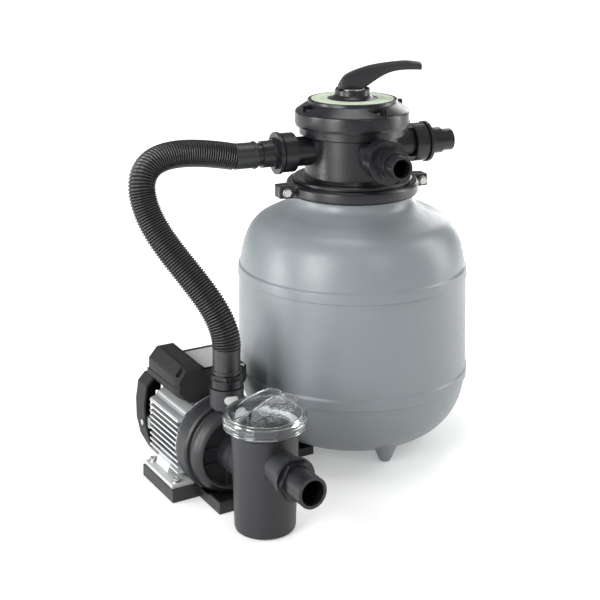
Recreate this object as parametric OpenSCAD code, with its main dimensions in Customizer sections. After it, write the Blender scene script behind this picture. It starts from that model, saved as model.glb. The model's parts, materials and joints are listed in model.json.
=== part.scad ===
// Small swimming-pool sand filter set: a moulded sand tank on four feet, a top-mounted
// multiport valve in a bolted clamp, a corrugated hose, and a strainer pump on a base plate.
// Millimetres. The origin is on the floor under the pump's shaft, level with the tank's axis.
// +Z is up, the shaft lies along Y with the strainer towards -Y, and the tank stands on the
// pump's +X side.

/* [Tank] */
// Outside radius of the tank's straight wall
tank_r = 165; // [163:0.5:167]
// Thickness of the moulded tank wall
tank_wall = 5; // [4:0.5:6]
// Turn of the tank and its valve about the vertical axis, degrees
tank_turn = -8.5; // [-10:0.5:-6]
// How far the two hoop ribs stand out of the wall
rib_out = 1.5; // [1:0.25:2.5]
// Width of each hoop rib
rib_w = 15; // [10:1:18]
// Distance of the feet from the tank's axis
foot_pcr = 112; // [110:0.5:114]
// Radius of the foot tips
foot_tip_r = 9; // [7:0.5:10]

/* [Valve] */
// Height of the tank neck's sealing face above the floor
neck_z = 362.6; // [360:0.2:364]
// Outside radius of the valve body
body_r = 69; // [68:0.5:70]
// Outside radius of the valve cover
cover_r = 83.4; // [82:0.2:85]
// Height of the hose ports above the valve's flange face
port_z = 55; // [54:0.5:56]
// Distance from the valve's axis to the mouth of each nozzle
nozzle_reach = 160; // [158:0.5:163]
// Radius of the larger hose step, for 38 mm hose
step_big_r = 19; // [18.5:0.1:19.5]
// Radius of the smaller hose step, for 32 mm hose
step_small_r = 16; // [15.5:0.1:16.5]
// Radius of the water way through each nozzle
nozzle_bore_r = 12.5; // [11:0.5:13.5]
// Direction in which the handle points, degrees from +X
handle_angle = -34.5; // [-45:0.5:-20]
// Turns of wire in the rotor spring
spring_turns = 4.5; // [3:0.5:5]

/* [Clamp] */
// Outside radius of the clamp ring
clamp_r = 95.6; // [94:0.2:98]
// Height of the clamp ring
clamp_h = 17.8; // [17:0.1:19]
// Distance from the axis to each clamp bolt
clamp_bolt_x = 107; // [105:0.5:109]

/* [Hose] */
// Outside radius over the hose corrugations
hose_r = 19; // [18.5:0.1:20]
// Thickness of the hose wall over its corrugations
hose_wall = 3.5; // [3:0.25:4]

/* [Pump] */
// Distance of the tank's axis from the pump's shaft
tank_x = 250.6; // [248:0.2:256]
// Height of the pump's shaft above the floor
pump_z = 63; // [62.5:0.1:64]
// Radius of the pump casing's rim
casing_r = 60.5; // [60:0.1:61]
// Distance of the discharge pipe's axis in front of the tank's axis
discharge_y = 86.5; // [85:0.5:88]
// Height of the base plate
plate_h = 15; // [14:0.5:15]
// Radius of the motor's shaft
shaft_r = 6; // [5:0.5:6.5]
// Number of cooling fins on each side of the motor
fin_count = 10; // [8:1:10]

/* [Strainer] */
// Distance of the strainer's axis in front of the tank's axis
strainer_y = 189.6; // [189:0.2:191]
// Outside radius of the strainer pot at its top
pot_r = 42.2; // [42:0.1:43]
// Height of the strainer pot's rim above the floor
pot_h = 127; // [126:0.5:128]
// Height of the suction nozzle above the floor
suction_z = 89.5; // [88:0.5:91]
// Distance from the strainer's axis to the mouth of the suction nozzle
suction_reach = 115; // [112:0.5:118]

/* [Hidden] */
$fn = 96;

black = [0.13, 0.135, 0.14];
dark_grey = [0.24, 0.25, 0.27];
tank_grey = [0.60, 0.64, 0.65];
silver = [0.66, 0.68, 0.70];
steel = [0.80, 0.80, 0.78];
rubber_black = [0.06, 0.06, 0.06];
copper = [0.72, 0.43, 0.24];
mint = [0.80, 0.88, 0.76];
white = [0.93, 0.93, 0.91];
clear = [0.85, 0.88, 0.90, 0.45];

gap = 0.05;             // running clearance on a radius
loose = 0.4;            // clearance between parts that don't guide each other
gasket_t = 1.4;         // thickness of the neck gasket
valve_z = neck_z + gasket_t;

// Domes: superellipses that meet the straight wall
dome_top_z = 213.7;     // where the wall starts to round over
dome_top_h = 113.5;     // height of the upper superellipse
dome_low_z = 118.3;     // where the wall starts to round under
dome_low_h = 117.1;     // depth of the lower superellipse
dome_steps = 22;
neck_r = 87;            // outside of the neck under the clamp
waist_r = 84;           // grooves that the clamp's lips sit in
lip_r = 84.4;           // inside of the clamp's lips
flange_r = 89.5;        // flanges held by the clamp
foot_angles = [0, 90, 180, 270];
rib_heights = [100, 246];

// Valve heights above its flange face
valve_flange_t = 6;
valve_disc_z = 9.2;
valve_body_z = 14;
ledge_z = 76.6;
cover_z = 88;
rim_z = 126.6;
hub_top_z = 139;
pin_z = 146.6;
cavity_r = 62.4;        // chamber that the rotor turns in
stem_r = 9;
seat_z = 79;            // top of the spider gasket, where the rotor sits
ceiling_z = 118.5;      // underside of the cover over the spring
cover_screw_r = 71.5;
cover_screw_angles = [6, 96, 186, 276];
port_angles = [0, 90, -90];     // front, right and pump ports
collar_end = 112.5;
nozzle_face = 115.2;

// Hose centre line: out of the pump port, over the top and down to the discharge
hose_start = 182;
hose_end_z = 195.3;
hose_top = [-75, 10.6, 391.4];

// Stations along the pump's shaft, as distances in front of the tank's axis
flange_y = 58;          // motor side of the pump flange
split_y = 64;           // joint between flange and casing
groove_y = 86;          // front of the casing's rim
dish_y = 110;           // front of the casing's bulge
housing_back = -30;     // rear end of the motor housing

barrel_r = 49;          // outside of the motor's round barrel
foot_bolt_x = 62;
foot_bolt_y = [-9.8, 62];

module tube(r_out, r_in, h) {
    difference() {
        cylinder(r = r_out, h = h);
        translate([0, 0, -1]) cylinder(r = r_in, h = h + 2);
    }
}

// A round ring of round section, centred on the origin
module ring(r, section_r) {
    rotate_extrude() translate([r, 0]) circle(r = section_r, $fn = 24);
}

// Children are drawn along +Z and laid along the shaft, pointing to -Y from station y
module on_shaft(y) {
    translate([0, -y, pump_z]) rotate([90, 0, 0]) children();
}

module tank_frame() {
    translate([tank_x, 0, 0]) rotate([0, 0, tank_turn]) children();
}

module valve_frame() {
    translate([0, 0, valve_z]) tank_frame() children();
}

// Children are drawn along +Z and laid outwards along a port's axis
module port_frame(angle) {
    valve_frame() rotate([0, 0, angle]) translate([0, 0, port_z]) rotate([90, 0, 0]) children();
}

module strainer_frame() {
    translate([0, -strainer_y, 0]) children();
}

// ---------- Tank ----------

function top_dome_r(t, r) = r * pow(1 - pow(t, 2.32), 1 / 8.42);
function low_dome_r(t, r) = r * pow(1 - pow(t, 2.52), 1 / 3.24);

// Half outline of a tank of revolution; inset is the distance inside the outer skin
module tank_outline(inset) {
    r = tank_r - inset;
    top_h = dome_top_h - inset;
    low_h = dome_low_h - inset;
    last_top = 0.945;
    last_low = 0.955;
    lower = [for (i = [dome_steps:-1:0])
        let (t = last_low * i / dome_steps) [low_dome_r(t, r), dome_low_z - low_h * t]];
    upper = [for (i = [0:dome_steps])
        let (t = last_top * i / dome_steps) [top_dome_r(t, r), dome_top_z + top_h * t]];
    shoulder_z = dome_top_z + top_h * last_top;
    shoulder_r = top_dome_r(last_top, r);
    neck = neck_r - inset;
    polygon(concat(
        [[0, dome_low_z - low_h * last_low]],
        lower,
        upper,
        [[shoulder_r - 12, shoulder_z + 6.5],
         [neck + 14, shoulder_z + 12.5],
         [neck + 4, shoulder_z + 18],
         [neck, shoulder_z + 26],
         [neck, neck_z - 8],
         [0, neck_z - 8]]));
}

module tank_foot() {
    foot_h = 46;
    foot_top_r = 29;
    tip_h = 4;
    translate([foot_pcr, 0, 0]) {
        translate([0, 0, tip_h]) cylinder(r1 = foot_tip_r, r2 = foot_top_r, h = foot_h - tip_h);
        cylinder(r1 = foot_tip_r - 2.5, r2 = foot_tip_r, h = tip_h);
    }
}

module tank_shell() {
    drain_z = 62;
    color(tank_grey) tank_frame() difference() {
        union() {
            rotate_extrude($fn = 128) tank_outline(0);
            for (z = rib_heights)
                translate([0, 0, z - rib_w / 2]) {
                    cylinder(r1 = tank_r - 1, r2 = tank_r + rib_out, h = 3);
                    translate([0, 0, 3]) cylinder(r = tank_r + rib_out, h = rib_w - 6);
                    translate([0, 0, rib_w - 3]) cylinder(r1 = tank_r + rib_out, r2 = tank_r - 1, h = 3);
                }
            translate([0, 0, neck_z - 8.5]) cylinder(r = waist_r, h = 8.5);
            translate([0, 0, neck_z - 5.2]) cylinder(r = flange_r, h = 5.2);
            for (a = foot_angles) rotate([0, 0, a]) tank_foot();
            rotate([0, 0, 90]) translate([tank_r - 16, 0, drain_z]) rotate([0, 90, 0])
                cylinder(r = 17, h = 20);
        }
        rotate_extrude($fn = 128) tank_outline(tank_wall);
        translate([0, 0, neck_z - 12]) cylinder(r = waist_r - 8, h = 14);
        translate([0, 0, neck_z - 1]) difference() {
            cylinder(r = waist_r + 2, h = 2);
            translate([0, 0, -1]) cylinder(r = waist_r - 6, h = 4);
        }
        rotate([0, 0, 90]) translate([tank_r - 30, 0, drain_z]) rotate([0, 90, 0])
            cylinder(r = 10 + gap, h = 50);
    }
}

module neck_gasket() {
    color(rubber_black) translate([0, 0, neck_z - 1 + gap]) tank_frame()
        tube(waist_r + 1.9, waist_r - 5.9, 1 + gasket_t - gap);
}

// Clamp: two half rings that draw the tank's flange and the valve's flange together
module clamp_half(side) {
    lug_w = 12;
    split = 1;
    bottom = neck_z - 7.6;
    bolt_z = valve_z;
    color(black) tank_frame() difference() {
        union() {
            translate([0, 0, bottom]) cylinder(r = clamp_r, h = clamp_h);
            for (x = [-1, 1])
                translate([x > 0 ? clamp_r - 5 : -clamp_r - 21, -lug_w - split, bottom])
                    cube([26, 2 * (lug_w + split), clamp_h]);
        }
        translate([0, 0, bottom - 1]) cylinder(r = lip_r, h = clamp_h + 2);
        translate([0, 0, neck_z - 5.4])
            cylinder(r = flange_r + 0.2, h = 5.4 + gasket_t + valve_flange_t + 0.2);
        translate([-200, side > 0 ? -200 : -split, bottom - 1])
            cube([400, 200 + (side > 0 ? split : 0), clamp_h + 2]);
        for (x = [-clamp_bolt_x, clamp_bolt_x])
            translate([x, 50, bolt_z]) rotate([90, 0, 0]) cylinder(r = 3.3, h = 100);
    }
}

module clamp_front() {
    clamp_half(-1);
}

module clamp_rear() {
    clamp_half(1);
}

module clamp_bolts() {
    head_y = 13.1;
    color(steel) tank_frame()
        for (x = [-clamp_bolt_x, clamp_bolt_x]) translate([x, 0, valve_z]) rotate([90, 0, 0]) {
            translate([0, 0, -22]) cylinder(r = 3, h = 22 + head_y);
            translate([0, 0, head_y]) cylinder(r = 6.5, h = 1);
            translate([0, 0, head_y + 1]) cylinder(r = 5.8, h = 4, $fn = 6);
        }
}

module clamp_nuts() {
    color(steel) tank_frame()
        for (x = [-clamp_bolt_x, clamp_bolt_x]) translate([x, 13.1, valve_z]) rotate([-90, 0, 0])
            difference() {
                union() {
                    cylinder(r = 6.5, h = 1);
                    translate([0, 0, 1]) cylinder(r = 5.8, h = 5, $fn = 6);
                }
                translate([0, 0, -1]) cylinder(r = 3 + gap, h = 8);
            }
}

// Inside the tank: clean water comes up the centre pipe from slotted laterals in the sand
module standpipe() {
    color(white) tank_frame() translate([0, 0, 62]) tube(16, 14, valve_z - 62 + 12);
}

module lateral_hub() {
    color(white) tank_frame() difference() {
        union() {
            translate([0, 0, 34]) cylinder(r = 20, h = 40);
            for (a = [0:60:300]) rotate([0, 0, a + 30]) translate([0, 0, 46]) rotate([0, 90, 0])
                cylinder(r = 9, h = 30);
        }
        translate([0, 0, 61.9]) cylinder(r = 16 + gap, h = 20);
        translate([0, 0, 40]) cylinder(r = 12, h = 30);
        for (a = [0:60:300]) rotate([0, 0, a + 30]) translate([10, 0, 46]) rotate([0, 90, 0])
            cylinder(r = 6.5 + gap, h = 30);
    }
}

module laterals() {
    slot_pitch = 6;
    color(white) tank_frame() for (a = [0:60:300])
        rotate([0, 0, a + 30]) translate([14, 0, 46]) rotate([0, 90, 0])
        difference() {
            union() {
                cylinder(r = 6.5, h = 18);
                translate([0, 0, 17]) cylinder(r = 8, h = 75);
            }
            translate([0, 0, -1]) cylinder(r = 5, h = 88);
            for (z = [24:slot_pitch:82]) translate([-10, -9, z]) cube([6, 18, 0.6]);
        }
}

// Slotted cap that lets air, but no sand, into the valve
module air_bleed_screen() {
    color(white) tank_frame() translate([0, 0, valve_z - 34]) difference() {
        cylinder(r = 22, h = 26);
        translate([0, 0, 2]) cylinder(r = 19.5, h = 25);
        translate([0, 0, -1]) cylinder(r = 16 + gap, h = 4);
        for (a = [0:30:330]) rotate([0, 0, a]) translate([15, -0.4, 5]) cube([10, 0.8, 16]);
    }
}

module drain_plug() {
    color(black) tank_frame() rotate([0, 0, 90]) translate([tank_r + 6.1, 0, 62]) rotate([0, 90, 0]) {
        translate([0, 0, -30]) cylinder(r = 10, h = 30);
        cylinder(r = 15, h = 6);
        translate([0, 0, 6]) cylinder(r = 9, h = 8, $fn = 6);
    }
}

module drain_plug_seal() {
    color(rubber_black) tank_frame() rotate([0, 0, 90]) translate([tank_r + 5.05, 0, 62])
        rotate([0, 90, 0]) ring(12.2, 1);
}

// ---------- Multiport valve ----------

module valve_body() {
    port_r = 21;
    collar_r = 28;
    collar_start = 93;
    wall_r = cavity_r + 1.6;
    wall_t = 4;
    centre_r = 22;
    color(black) difference() {
        union() {
            valve_frame() {
                cylinder(r = flange_r, h = valve_flange_t);
                cylinder(r = waist_r, h = valve_disc_z + 1);
                translate([0, 0, valve_disc_z]) cylinder(r = 86, h = valve_body_z - valve_disc_z - 1.5);
                translate([0, 0, valve_body_z - 1.5]) cylinder(r1 = 86, r2 = 84.5, h = 1.5);
                translate([0, 0, valve_body_z]) cylinder(r = body_r, h = ledge_z - valve_body_z + 2);
                translate([0, 0, valve_body_z]) cylinder(r1 = body_r + 4, r2 = body_r, h = 4);
                translate([0, 0, ledge_z - 3]) cylinder(r1 = body_r, r2 = 77, h = 3);
                translate([0, 0, ledge_z]) cylinder(r = 77, h = cover_z - ledge_z);
            }
            for (a = port_angles) port_frame(a) {
                translate([0, 0, 40]) cylinder(r = port_r, h = collar_start - 38);
                translate([0, 0, collar_start]) cylinder(r = collar_r - 0.8, h = 1);
                translate([0, 0, collar_start + 1]) cylinder(r = collar_r, h = collar_end - collar_start - 1);
            }
        }
        valve_frame() {
            difference() {
                translate([0, 0, 6]) cylinder(r = wall_r, h = 100);
                cylinder(r = centre_r, h = seat_z - 3);
                for (a = [30:60:330]) rotate([0, 0, a]) translate([0, -wall_t / 2, 0])
                    cube([wall_r + 1, wall_t, seat_z - 3]);
            }
            translate([0, 0, -1]) cylinder(r = 16 + gap, h = 14);
            translate([0, 0, 12]) cylinder(r = 14, h = 80);
            translate([0, 0, cover_z - 3]) tube(69, 65.3, 4);
            for (a = cover_screw_angles) rotate([0, 0, a]) translate([cover_screw_r, 0, ledge_z + 1])
                cylinder(r = 1.5 + gap, h = 20);
            for (a = [0:60:300]) rotate([0, 0, a]) translate([45, 0, -1]) cylinder(r = 5, h = 8);
        }
        for (a = port_angles) port_frame(a) {
            translate([0, 0, 48]) cylinder(r = 14, h = 100);
            translate([0, 0, 96]) cylinder(r = 20.2, h = 30);
        }
    }
}

// Star-shaped seal under the rotor
module spider_gasket() {
    web = 3;
    color(rubber_black) valve_frame() translate([0, 0, seat_z - 3]) difference() {
        cylinder(r = cavity_r + 1.2, h = 3 - gap);
        for (a = [0:60:300]) rotate([0, 0, a]) translate([0, 0, -1])
            rotate_extrude(angle = 60 - web * 2, start = web) translate([22, 0]) square([36, 5]);
        translate([0, 0, -1]) cylinder(r = 14, h = 5);
    }
}

module valve_cover() {
    pocket_z = 112.5;
    shoulder = [cover_r - 1.5, 110.2];
    color(black) valve_frame() difference() {
        rotate_extrude($fn = 128) polygon([
            [0, cover_z + gap], [cover_r - 1.2, cover_z + gap], [cover_r, cover_z + 4],
            [cover_r, 107.5], shoulder, [66.8, 120.5], [65, 121.8], [65, rim_z - 1.6],
            [64, rim_z], [60.2, rim_z], [60.2, rim_z - 1.7], [36.4, rim_z - 1.7], [36.4, rim_z - 0.6],
            [30, 128.5], [27, 131], [25.6, 133.5], [25.6, hub_top_z - 1], [24.6, hub_top_z],
            [0, hub_top_z]]);
        translate([0, 0, cover_z - 1]) cylinder(r = cavity_r + 1, h = 24);
        translate([0, 0, cover_z + 22]) cylinder(r1 = cavity_r + 1, r2 = 32, h = ceiling_z - cover_z - 22);
        translate([0, 0, ceiling_z - 4]) cylinder(r = 31, h = 4);
        cylinder(r = stem_r + gap, h = 200);
        for (a = cover_screw_angles) rotate([0, 0, a]) translate([cover_screw_r, 0, 0]) {
            cylinder(r = 2.2, h = 150);
            translate([0, 0, pocket_z]) cylinder(r = 5.2, h = 20);
            translate([0, -5.2, pocket_z]) cube([20, 10.4, 20]);
        }
    }
}

module cover_screws() {
    pocket_z = 112.5;
    color(black) valve_frame() for (a = cover_screw_angles) rotate([0, 0, a])
        translate([cover_screw_r, 0, 0]) difference() {
            union() {
                translate([0, 0, ledge_z + 2]) cylinder(r = 1.5, h = cover_z - ledge_z - 1.9);
                translate([0, 0, cover_z + 0.1]) cylinder(r = 2, h = pocket_z - cover_z);
                translate([0, 0, pocket_z + 0.05]) cylinder(r = 4.4, h = 1.4);
                translate([0, 0, pocket_z + 1.45]) cylinder(r1 = 4.4, r2 = 3.2, h = 1.4);
            }
            for (t = [0, 90]) rotate([0, 0, t]) translate([-2.6, -0.5, pocket_z + 1.2]) cube([5.2, 1, 3]);
        }
}

module cover_oring() {
    color(rubber_black) valve_frame() translate([0, 0, cover_z - 1.5]) ring(67.15, 1.45);
}

// Diverter: a disc with one window that joins the pump port to the chosen port
module valve_rotor() {
    disc_t = 6;
    disc_z = seat_z + gap;
    neck_z0 = ceiling_z - 30;
    color(white) valve_frame() rotate([0, 0, handle_angle - tank_turn]) difference() {
        union() {
            translate([0, 0, disc_z]) cylinder(r = cavity_r - 1.4, h = disc_t);
            translate([0, 0, disc_z + disc_t]) cylinder(r1 = 24, r2 = 13, h = neck_z0 - disc_z - disc_t);
            translate([0, 0, disc_z]) cylinder(r = stem_r, h = hub_top_z - 2 - disc_z);
            translate([0, 0, disc_z]) cylinder(r = 7, h = pin_z + 4.4 - disc_z);
        }
        translate([0, 0, disc_z - 1]) rotate_extrude(angle = 50, start = -25)
            translate([26, 0]) square([31, 20]);
        translate([0, 30, pin_z]) rotate([90, 0, 0]) cylinder(r = 2.5 + 0.02, h = 60);
        translate([0, 0, 128]) tube(stem_r + 1, 7.3, 2.2);
    }
}

module stem_oring() {
    color(rubber_black) valve_frame() translate([0, 0, 129.1]) ring(8.12, 0.8);
}

// Compression spring: a round wire swept along a helix
function coil_point(t, r, h, wire_r, a) =
    let (turn = 360 * spring_turns * t)
    [(r + wire_r * cos(a)) * cos(turn), (r + wire_r * cos(a)) * sin(turn), h * t + wire_r * sin(a)];

module rotor_spring() {
    wire_r = 1.5;
    wire_sides = 6;
    coil_r = 15.5;
    bottom = ceiling_z - 29.8 + wire_r * 1.1;
    length = ceiling_z - 2.2 - wire_r * 1.1 - bottom;
    steps = round(spring_turns * 18);
    points = [for (i = [0:steps], j = [0:wire_sides - 1])
        coil_point(i / steps, coil_r, length, wire_r, 360 * j / wire_sides)];
    side_faces = [for (i = [0:steps - 1], j = [0:wire_sides - 1])
        let (a = i * wire_sides + j, b = i * wire_sides + (j + 1) % wire_sides)
        [a, b, b + wire_sides, a + wire_sides]];
    start_cap = [[for (j = [wire_sides - 1:-1:0]) j]];
    end_cap = [[for (j = [0:wire_sides - 1]) steps * wire_sides + j]];
    color(steel) valve_frame() translate([0, 0, bottom])
        polyhedron(points, concat(side_faces, start_cap, end_cap), convexity = 10);
}

// One washer over the spring and one under the handle's cam
module slip_washers() {
    color(white) valve_frame() {
        translate([0, 0, ceiling_z - 1.9]) tube(19, stem_r + 0.4, 1.8);
        translate([0, 0, hub_top_z + gap]) tube(17, stem_r + 0.4, 1.4);
    }
}

// Ring printed with the valve's positions; its markings are left out
module position_plate() {
    color(mint) valve_frame() translate([0, 0, rim_z - 1.65]) tube(59.6, 37, 1.95);
}

// Lever: pressing it down lifts the rotor off its seat, then it turns to the next position
module handle() {
    side = [[-21, 0.6], [10, 0.6], [22, 5.2], [33, 12.4], [47, 21.6], [60, 26.4], [72, 28.4], [97, 29.2],
        [99, 31], [99, 38], [97, 40.2], [79, 42.3], [57, 41.4], [35, 36.6], [11, 28.6], [-5, 20],
        [-11, 14.5]];
    base_z = hub_top_z + 0.9;
    slot_w = 7.3;
    color(black) valve_frame() rotate([0, 0, handle_angle - tank_turn]) difference() {
        intersection() {
            translate([0, 13, base_z]) rotate([90, 0, 0]) linear_extrude(26) polygon(side);
            union() {
                translate([0, 0, base_z]) cylinder(r = 22, h = 60);
                translate([0, -10.5, base_z]) cube([87, 21, 60]);
                translate([87, 0, base_z]) cylinder(r = 12.4, h = 60);
                translate([70, -12.4, base_z]) cube([17, 24.8, 60]);
            }
        }
        translate([-9.2, -slot_w, base_z - 1]) cube([19.6, 2 * slot_w, 14.8]);
        translate([0, 30, pin_z]) rotate([90, 0, 0]) cylinder(r = 2.5 + gap, h = 60);
    }
}

module handle_pin() {
    color(steel) valve_frame() rotate([0, 0, handle_angle - tank_turn])
        translate([0, 12.5, pin_z]) rotate([90, 0, 0]) cylinder(r = 2.5, h = 25);
}

// Screwed hose tails: the two free ports and the one under the hose
module valve_nozzles() {
    face = nozzle_face;
    hex_h = 5;
    step_h = 18;
    color(black) for (a = port_angles) port_frame(a) difference() {
        union() {
            translate([0, 0, 98]) cylinder(r = 20, h = face - 97);
            translate([0, 0, face]) cylinder(r = 30, h = 4.8);
            translate([0, 0, face + 4.8]) cylinder(r = 23.5, h = hex_h, $fn = 6);
            translate([0, 0, face + 4]) cylinder(r = step_big_r, h = nozzle_reach - step_h - face - 4);
            translate([0, 0, face]) cylinder(r = step_small_r, h = nozzle_reach - face);
        }
        translate([0, 0, 90]) cylinder(r = nozzle_bore_r, h = 100);
    }
}

module nozzle_orings() {
    color(rubber_black) for (a = port_angles) port_frame(a)
        translate([0, 0, (collar_end + nozzle_face) / 2]) ring(26.2, 1.25);
}

// ---------- Hose ----------

function bezier(p, t) =
    pow(1 - t, 3) * p[0] + 3 * pow(1 - t, 2) * t * p[1] + 3 * (1 - t) * t * t * p[2] + pow(t, 3) * p[3];
function bezier_slope(p, t) =
    pow(1 - t, 2) * (p[1] - p[0]) + 2 * (1 - t) * t * (p[2] - p[1]) + t * t * (p[3] - p[2]);
function unit(v) = v / norm(v);

port_dir = [cos(180 + tank_turn), sin(180 + tank_turn), 0];
hose_from = [tank_x, 0, valve_z + port_z] + port_dir * hose_start;
hose_to = [0, -discharge_y, hose_end_z];
top_slope = unit([0, -0.223, -1.023]);
hose_arcs = [
    [hose_from, hose_from + 76 * (port_dir + [0, 0, 0.215]), hose_top - 52.4 * top_slope, hose_top],
    [hose_top, hose_top + 73.9 * top_slope, hose_to + [0, 0, 68.4], hose_to]];

module hose() {
    steps = 12;
    sides = 20;
    reference = [0.3, 1, 0];
    stations = [for (k = [0, 1], i = [k:steps]) [hose_arcs[k], i / steps, k + i == 0]];
    count = len(stations);
    points = [for (r = [hose_r, hose_r - hose_wall], s = stations, j = [0:sides - 1])
        let (slope = s[2] ? port_dir : unit(bezier_slope(s[0], s[1])),
             u = unit(cross(slope, reference)),
             v = cross(slope, u),
             a = 360 * j / sides)
        bezier(s[0], s[1]) + r * (cos(a) * u + sin(a) * v)];
    inner = count * sides;
    outer_faces = [for (i = [0:count - 2], j = [0:sides - 1])
        let (a = i * sides + j, b = i * sides + (j + 1) % sides) [a, b, b + sides, a + sides]];
    inner_faces = [for (i = [0:count - 2], j = [0:sides - 1])
        let (a = inner + i * sides + j, b = inner + i * sides + (j + 1) % sides)
        [a, a + sides, b + sides, b]];
    start_faces = [for (j = [0:sides - 1]) let (k = (j + 1) % sides) [k, j, inner + j, inner + k]];
    last = (count - 1) * sides;
    end_faces = [for (j = [0:sides - 1]) let (k = (j + 1) % sides)
        [last + j, last + k, inner + last + k, inner + last + j]];
    color(black) polyhedron(points, concat(outer_faces, inner_faces, start_faces, end_faces), convexity = 8);
}

// Smooth moulded end: a sleeve over the nozzle's small step, with a bead at its mouth
module cuff(length, grip) {
    cuff_r = 18.3;
    difference() {
        union() {
            cylinder(r = cuff_r, h = length);
            translate([0, 0, 2]) cylinder(r = cuff_r + 1.3, h = 3);
        }
        translate([0, 0, -1]) cylinder(r = step_small_r + gap, h = grip + 1);
        translate([0, 0, grip - 1]) cylinder(r = hose_r - hose_wall, h = length);
    }
}

module hose_cuff_upper() {
    color(black) port_frame(-90) translate([0, 0, 149]) cuff(hose_start - 149.1, nozzle_reach - 148);
}

module hose_cuff_lower() {
    color(black) translate([0, -discharge_y, 162]) cuff(hose_end_z - 162.1, 24);
}

// ---------- Base plate ----------

module base_plate() {
    block_w = 148.4;
    block_front = 77.6;
    block_back = 16.6;
    tray_w = 72;
    tray_front = 135.5;
    tongue_h = 11.5;
    tongue_front = 45;
    tongue_back = 26;
    wall = 3;
    color(dark_grey) difference() {
        union() {
            translate([-block_w / 2, -block_front, 0]) cube([block_w, block_front + block_back, plate_h]);
            translate([-tray_w / 2, -tray_front, 0]) cube([tray_w, tray_front - 60, plate_h]);
            translate([0, -tongue_front, 0]) cube([tank_x - 90, tongue_front + tongue_back, tongue_h]);
        }
        // Open tray in front of the motor, and the room for the pump's round rim
        translate([-tray_w / 2 + wall, -tray_front + wall, wall - 1.5])
            cube([tray_w - 2 * wall, tray_front - wall - 56, plate_h]);
        on_shaft(55) cylinder(r = casing_r + 1.2, h = 50);
        // Shallow cradle under the motor's barrel
        on_shaft(-block_back - 1) cylinder(r = barrel_r + loose, h = block_front + block_back);
        // The far end curves around the tank's underside and keys onto its foot
        tank_frame() {
            translate([0, 0, -1]) cylinder(r = 103, h = 30);
            translate([-foot_pcr, 0, -1]) cylinder(r = 17, h = 30);
        }
        for (x = [-foot_bolt_x, foot_bolt_x], y = foot_bolt_y)
            translate([x, -y, -1]) cylinder(r = 2.5 + gap, h = 30);
        // Hollow underside
        for (x = [-block_w / 2 + wall, tray_w / 2 + wall])
            translate([x, -52, -1]) cube([block_w / 2 - tray_w / 2 - 2 * wall, 44, plate_h - 3]);
    }
}

// ---------- Motor ----------

module motor_housing() {
    length = flange_y - housing_back;
    fin_half = 58;
    fin_t = 2.4;
    fin_low = -35;
    fin_high = 34;
    fin_pitch = (fin_high - fin_low) / (fin_count - 1);
    foot_bottom = plate_h - pump_z;
    foot_t = 5;
    foot_out = 71.4;
    foot_in = 40;
    riser = [[40, foot_bottom + 1], [63, foot_bottom + 1], [61, foot_bottom + 7], [52, -20], [40, -20]];
    ring_t = 3;
    shoulder = [[-57, 32], [-57, 36.5], [-49, 39], [-46.5, 43.5], [-34, 49],
        [34, 49], [46.5, 43.5], [49, 39], [57, 36.5], [57, 32]];
    color(silver) difference() {
        union() {
            on_shaft(housing_back) {
                cylinder(r = barrel_r, h = length);
                for (i = [0:fin_count - 1])
                    translate([-fin_half, fin_low + fin_pitch * i - fin_t / 2, 0])
                        cube([2 * fin_half, fin_t, length]);
                linear_extrude(length) polygon(shoulder);
            }
            // Round ring that meets the pump flange
            on_shaft(flange_y - ring_t) cylinder(r = casing_r - 1, h = ring_t);
            for (s = [-1, 1]) {
                on_shaft(-16) translate([s > 0 ? foot_in : -foot_out, foot_bottom, 0])
                    cube([foot_out - foot_in, foot_t, 86]);
                on_shaft(-3.4) linear_extrude(37.4) polygon([for (p = riser) [s * p[0], p[1]]]);
            }
        }
        on_shaft(housing_back - 1) cylinder(r = 44.1, h = length + 2);
        // The feet's front ends clear the pump's round rim
        on_shaft(flange_y) cylinder(r = casing_r + loose, h = 40);
        for (a = [45:90:315]) on_shaft(flange_y - 10) rotate([0, 0, a]) translate([55.5, 0, 0])
            cylinder(r = 6, h = 12);
        for (x = [-foot_bolt_x, foot_bolt_x], y = foot_bolt_y)
            translate([x, -y, plate_h - 1]) cylinder(r = 3.2, h = 12);
    }
}

module foot_bolts() {
    top = plate_h + 5 + gap;
    color(steel) for (x = [-foot_bolt_x, foot_bolt_x], y = foot_bolt_y) translate([x, -y, 0]) {
        translate([0, 0, 4]) cylinder(r = 2.5, h = top - 4);
        translate([0, 0, top]) cylinder(r = 6, h = 1);
        translate([0, 0, top + 1]) cylinder(r = 4.6, h = 3.6, $fn = 6);
    }
}

module motor_flange() {
    boss_r = 20;
    color(black) on_shaft(flange_y + gap) difference() {
        union() {
            cylinder(r = casing_r, h = split_y - flange_y - gap);
            translate([0, 0, -12]) cylinder(r = boss_r, h = 12);
            translate([0, 0, -4]) cylinder(r = 44, h = 4);
        }
        translate([0, 0, -13]) cylinder(r = 16 + gap, h = 11);
        translate([0, 0, -13]) cylinder(r = shaft_r + 1, h = 30);
        translate([0, 0, 2]) cylinder(r = 14 + gap, h = 10);
        for (a = [45:90:315]) rotate([0, 0, a]) translate([55.5, 0, -1]) cylinder(r = 2.6, h = 20);
    }
}

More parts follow.
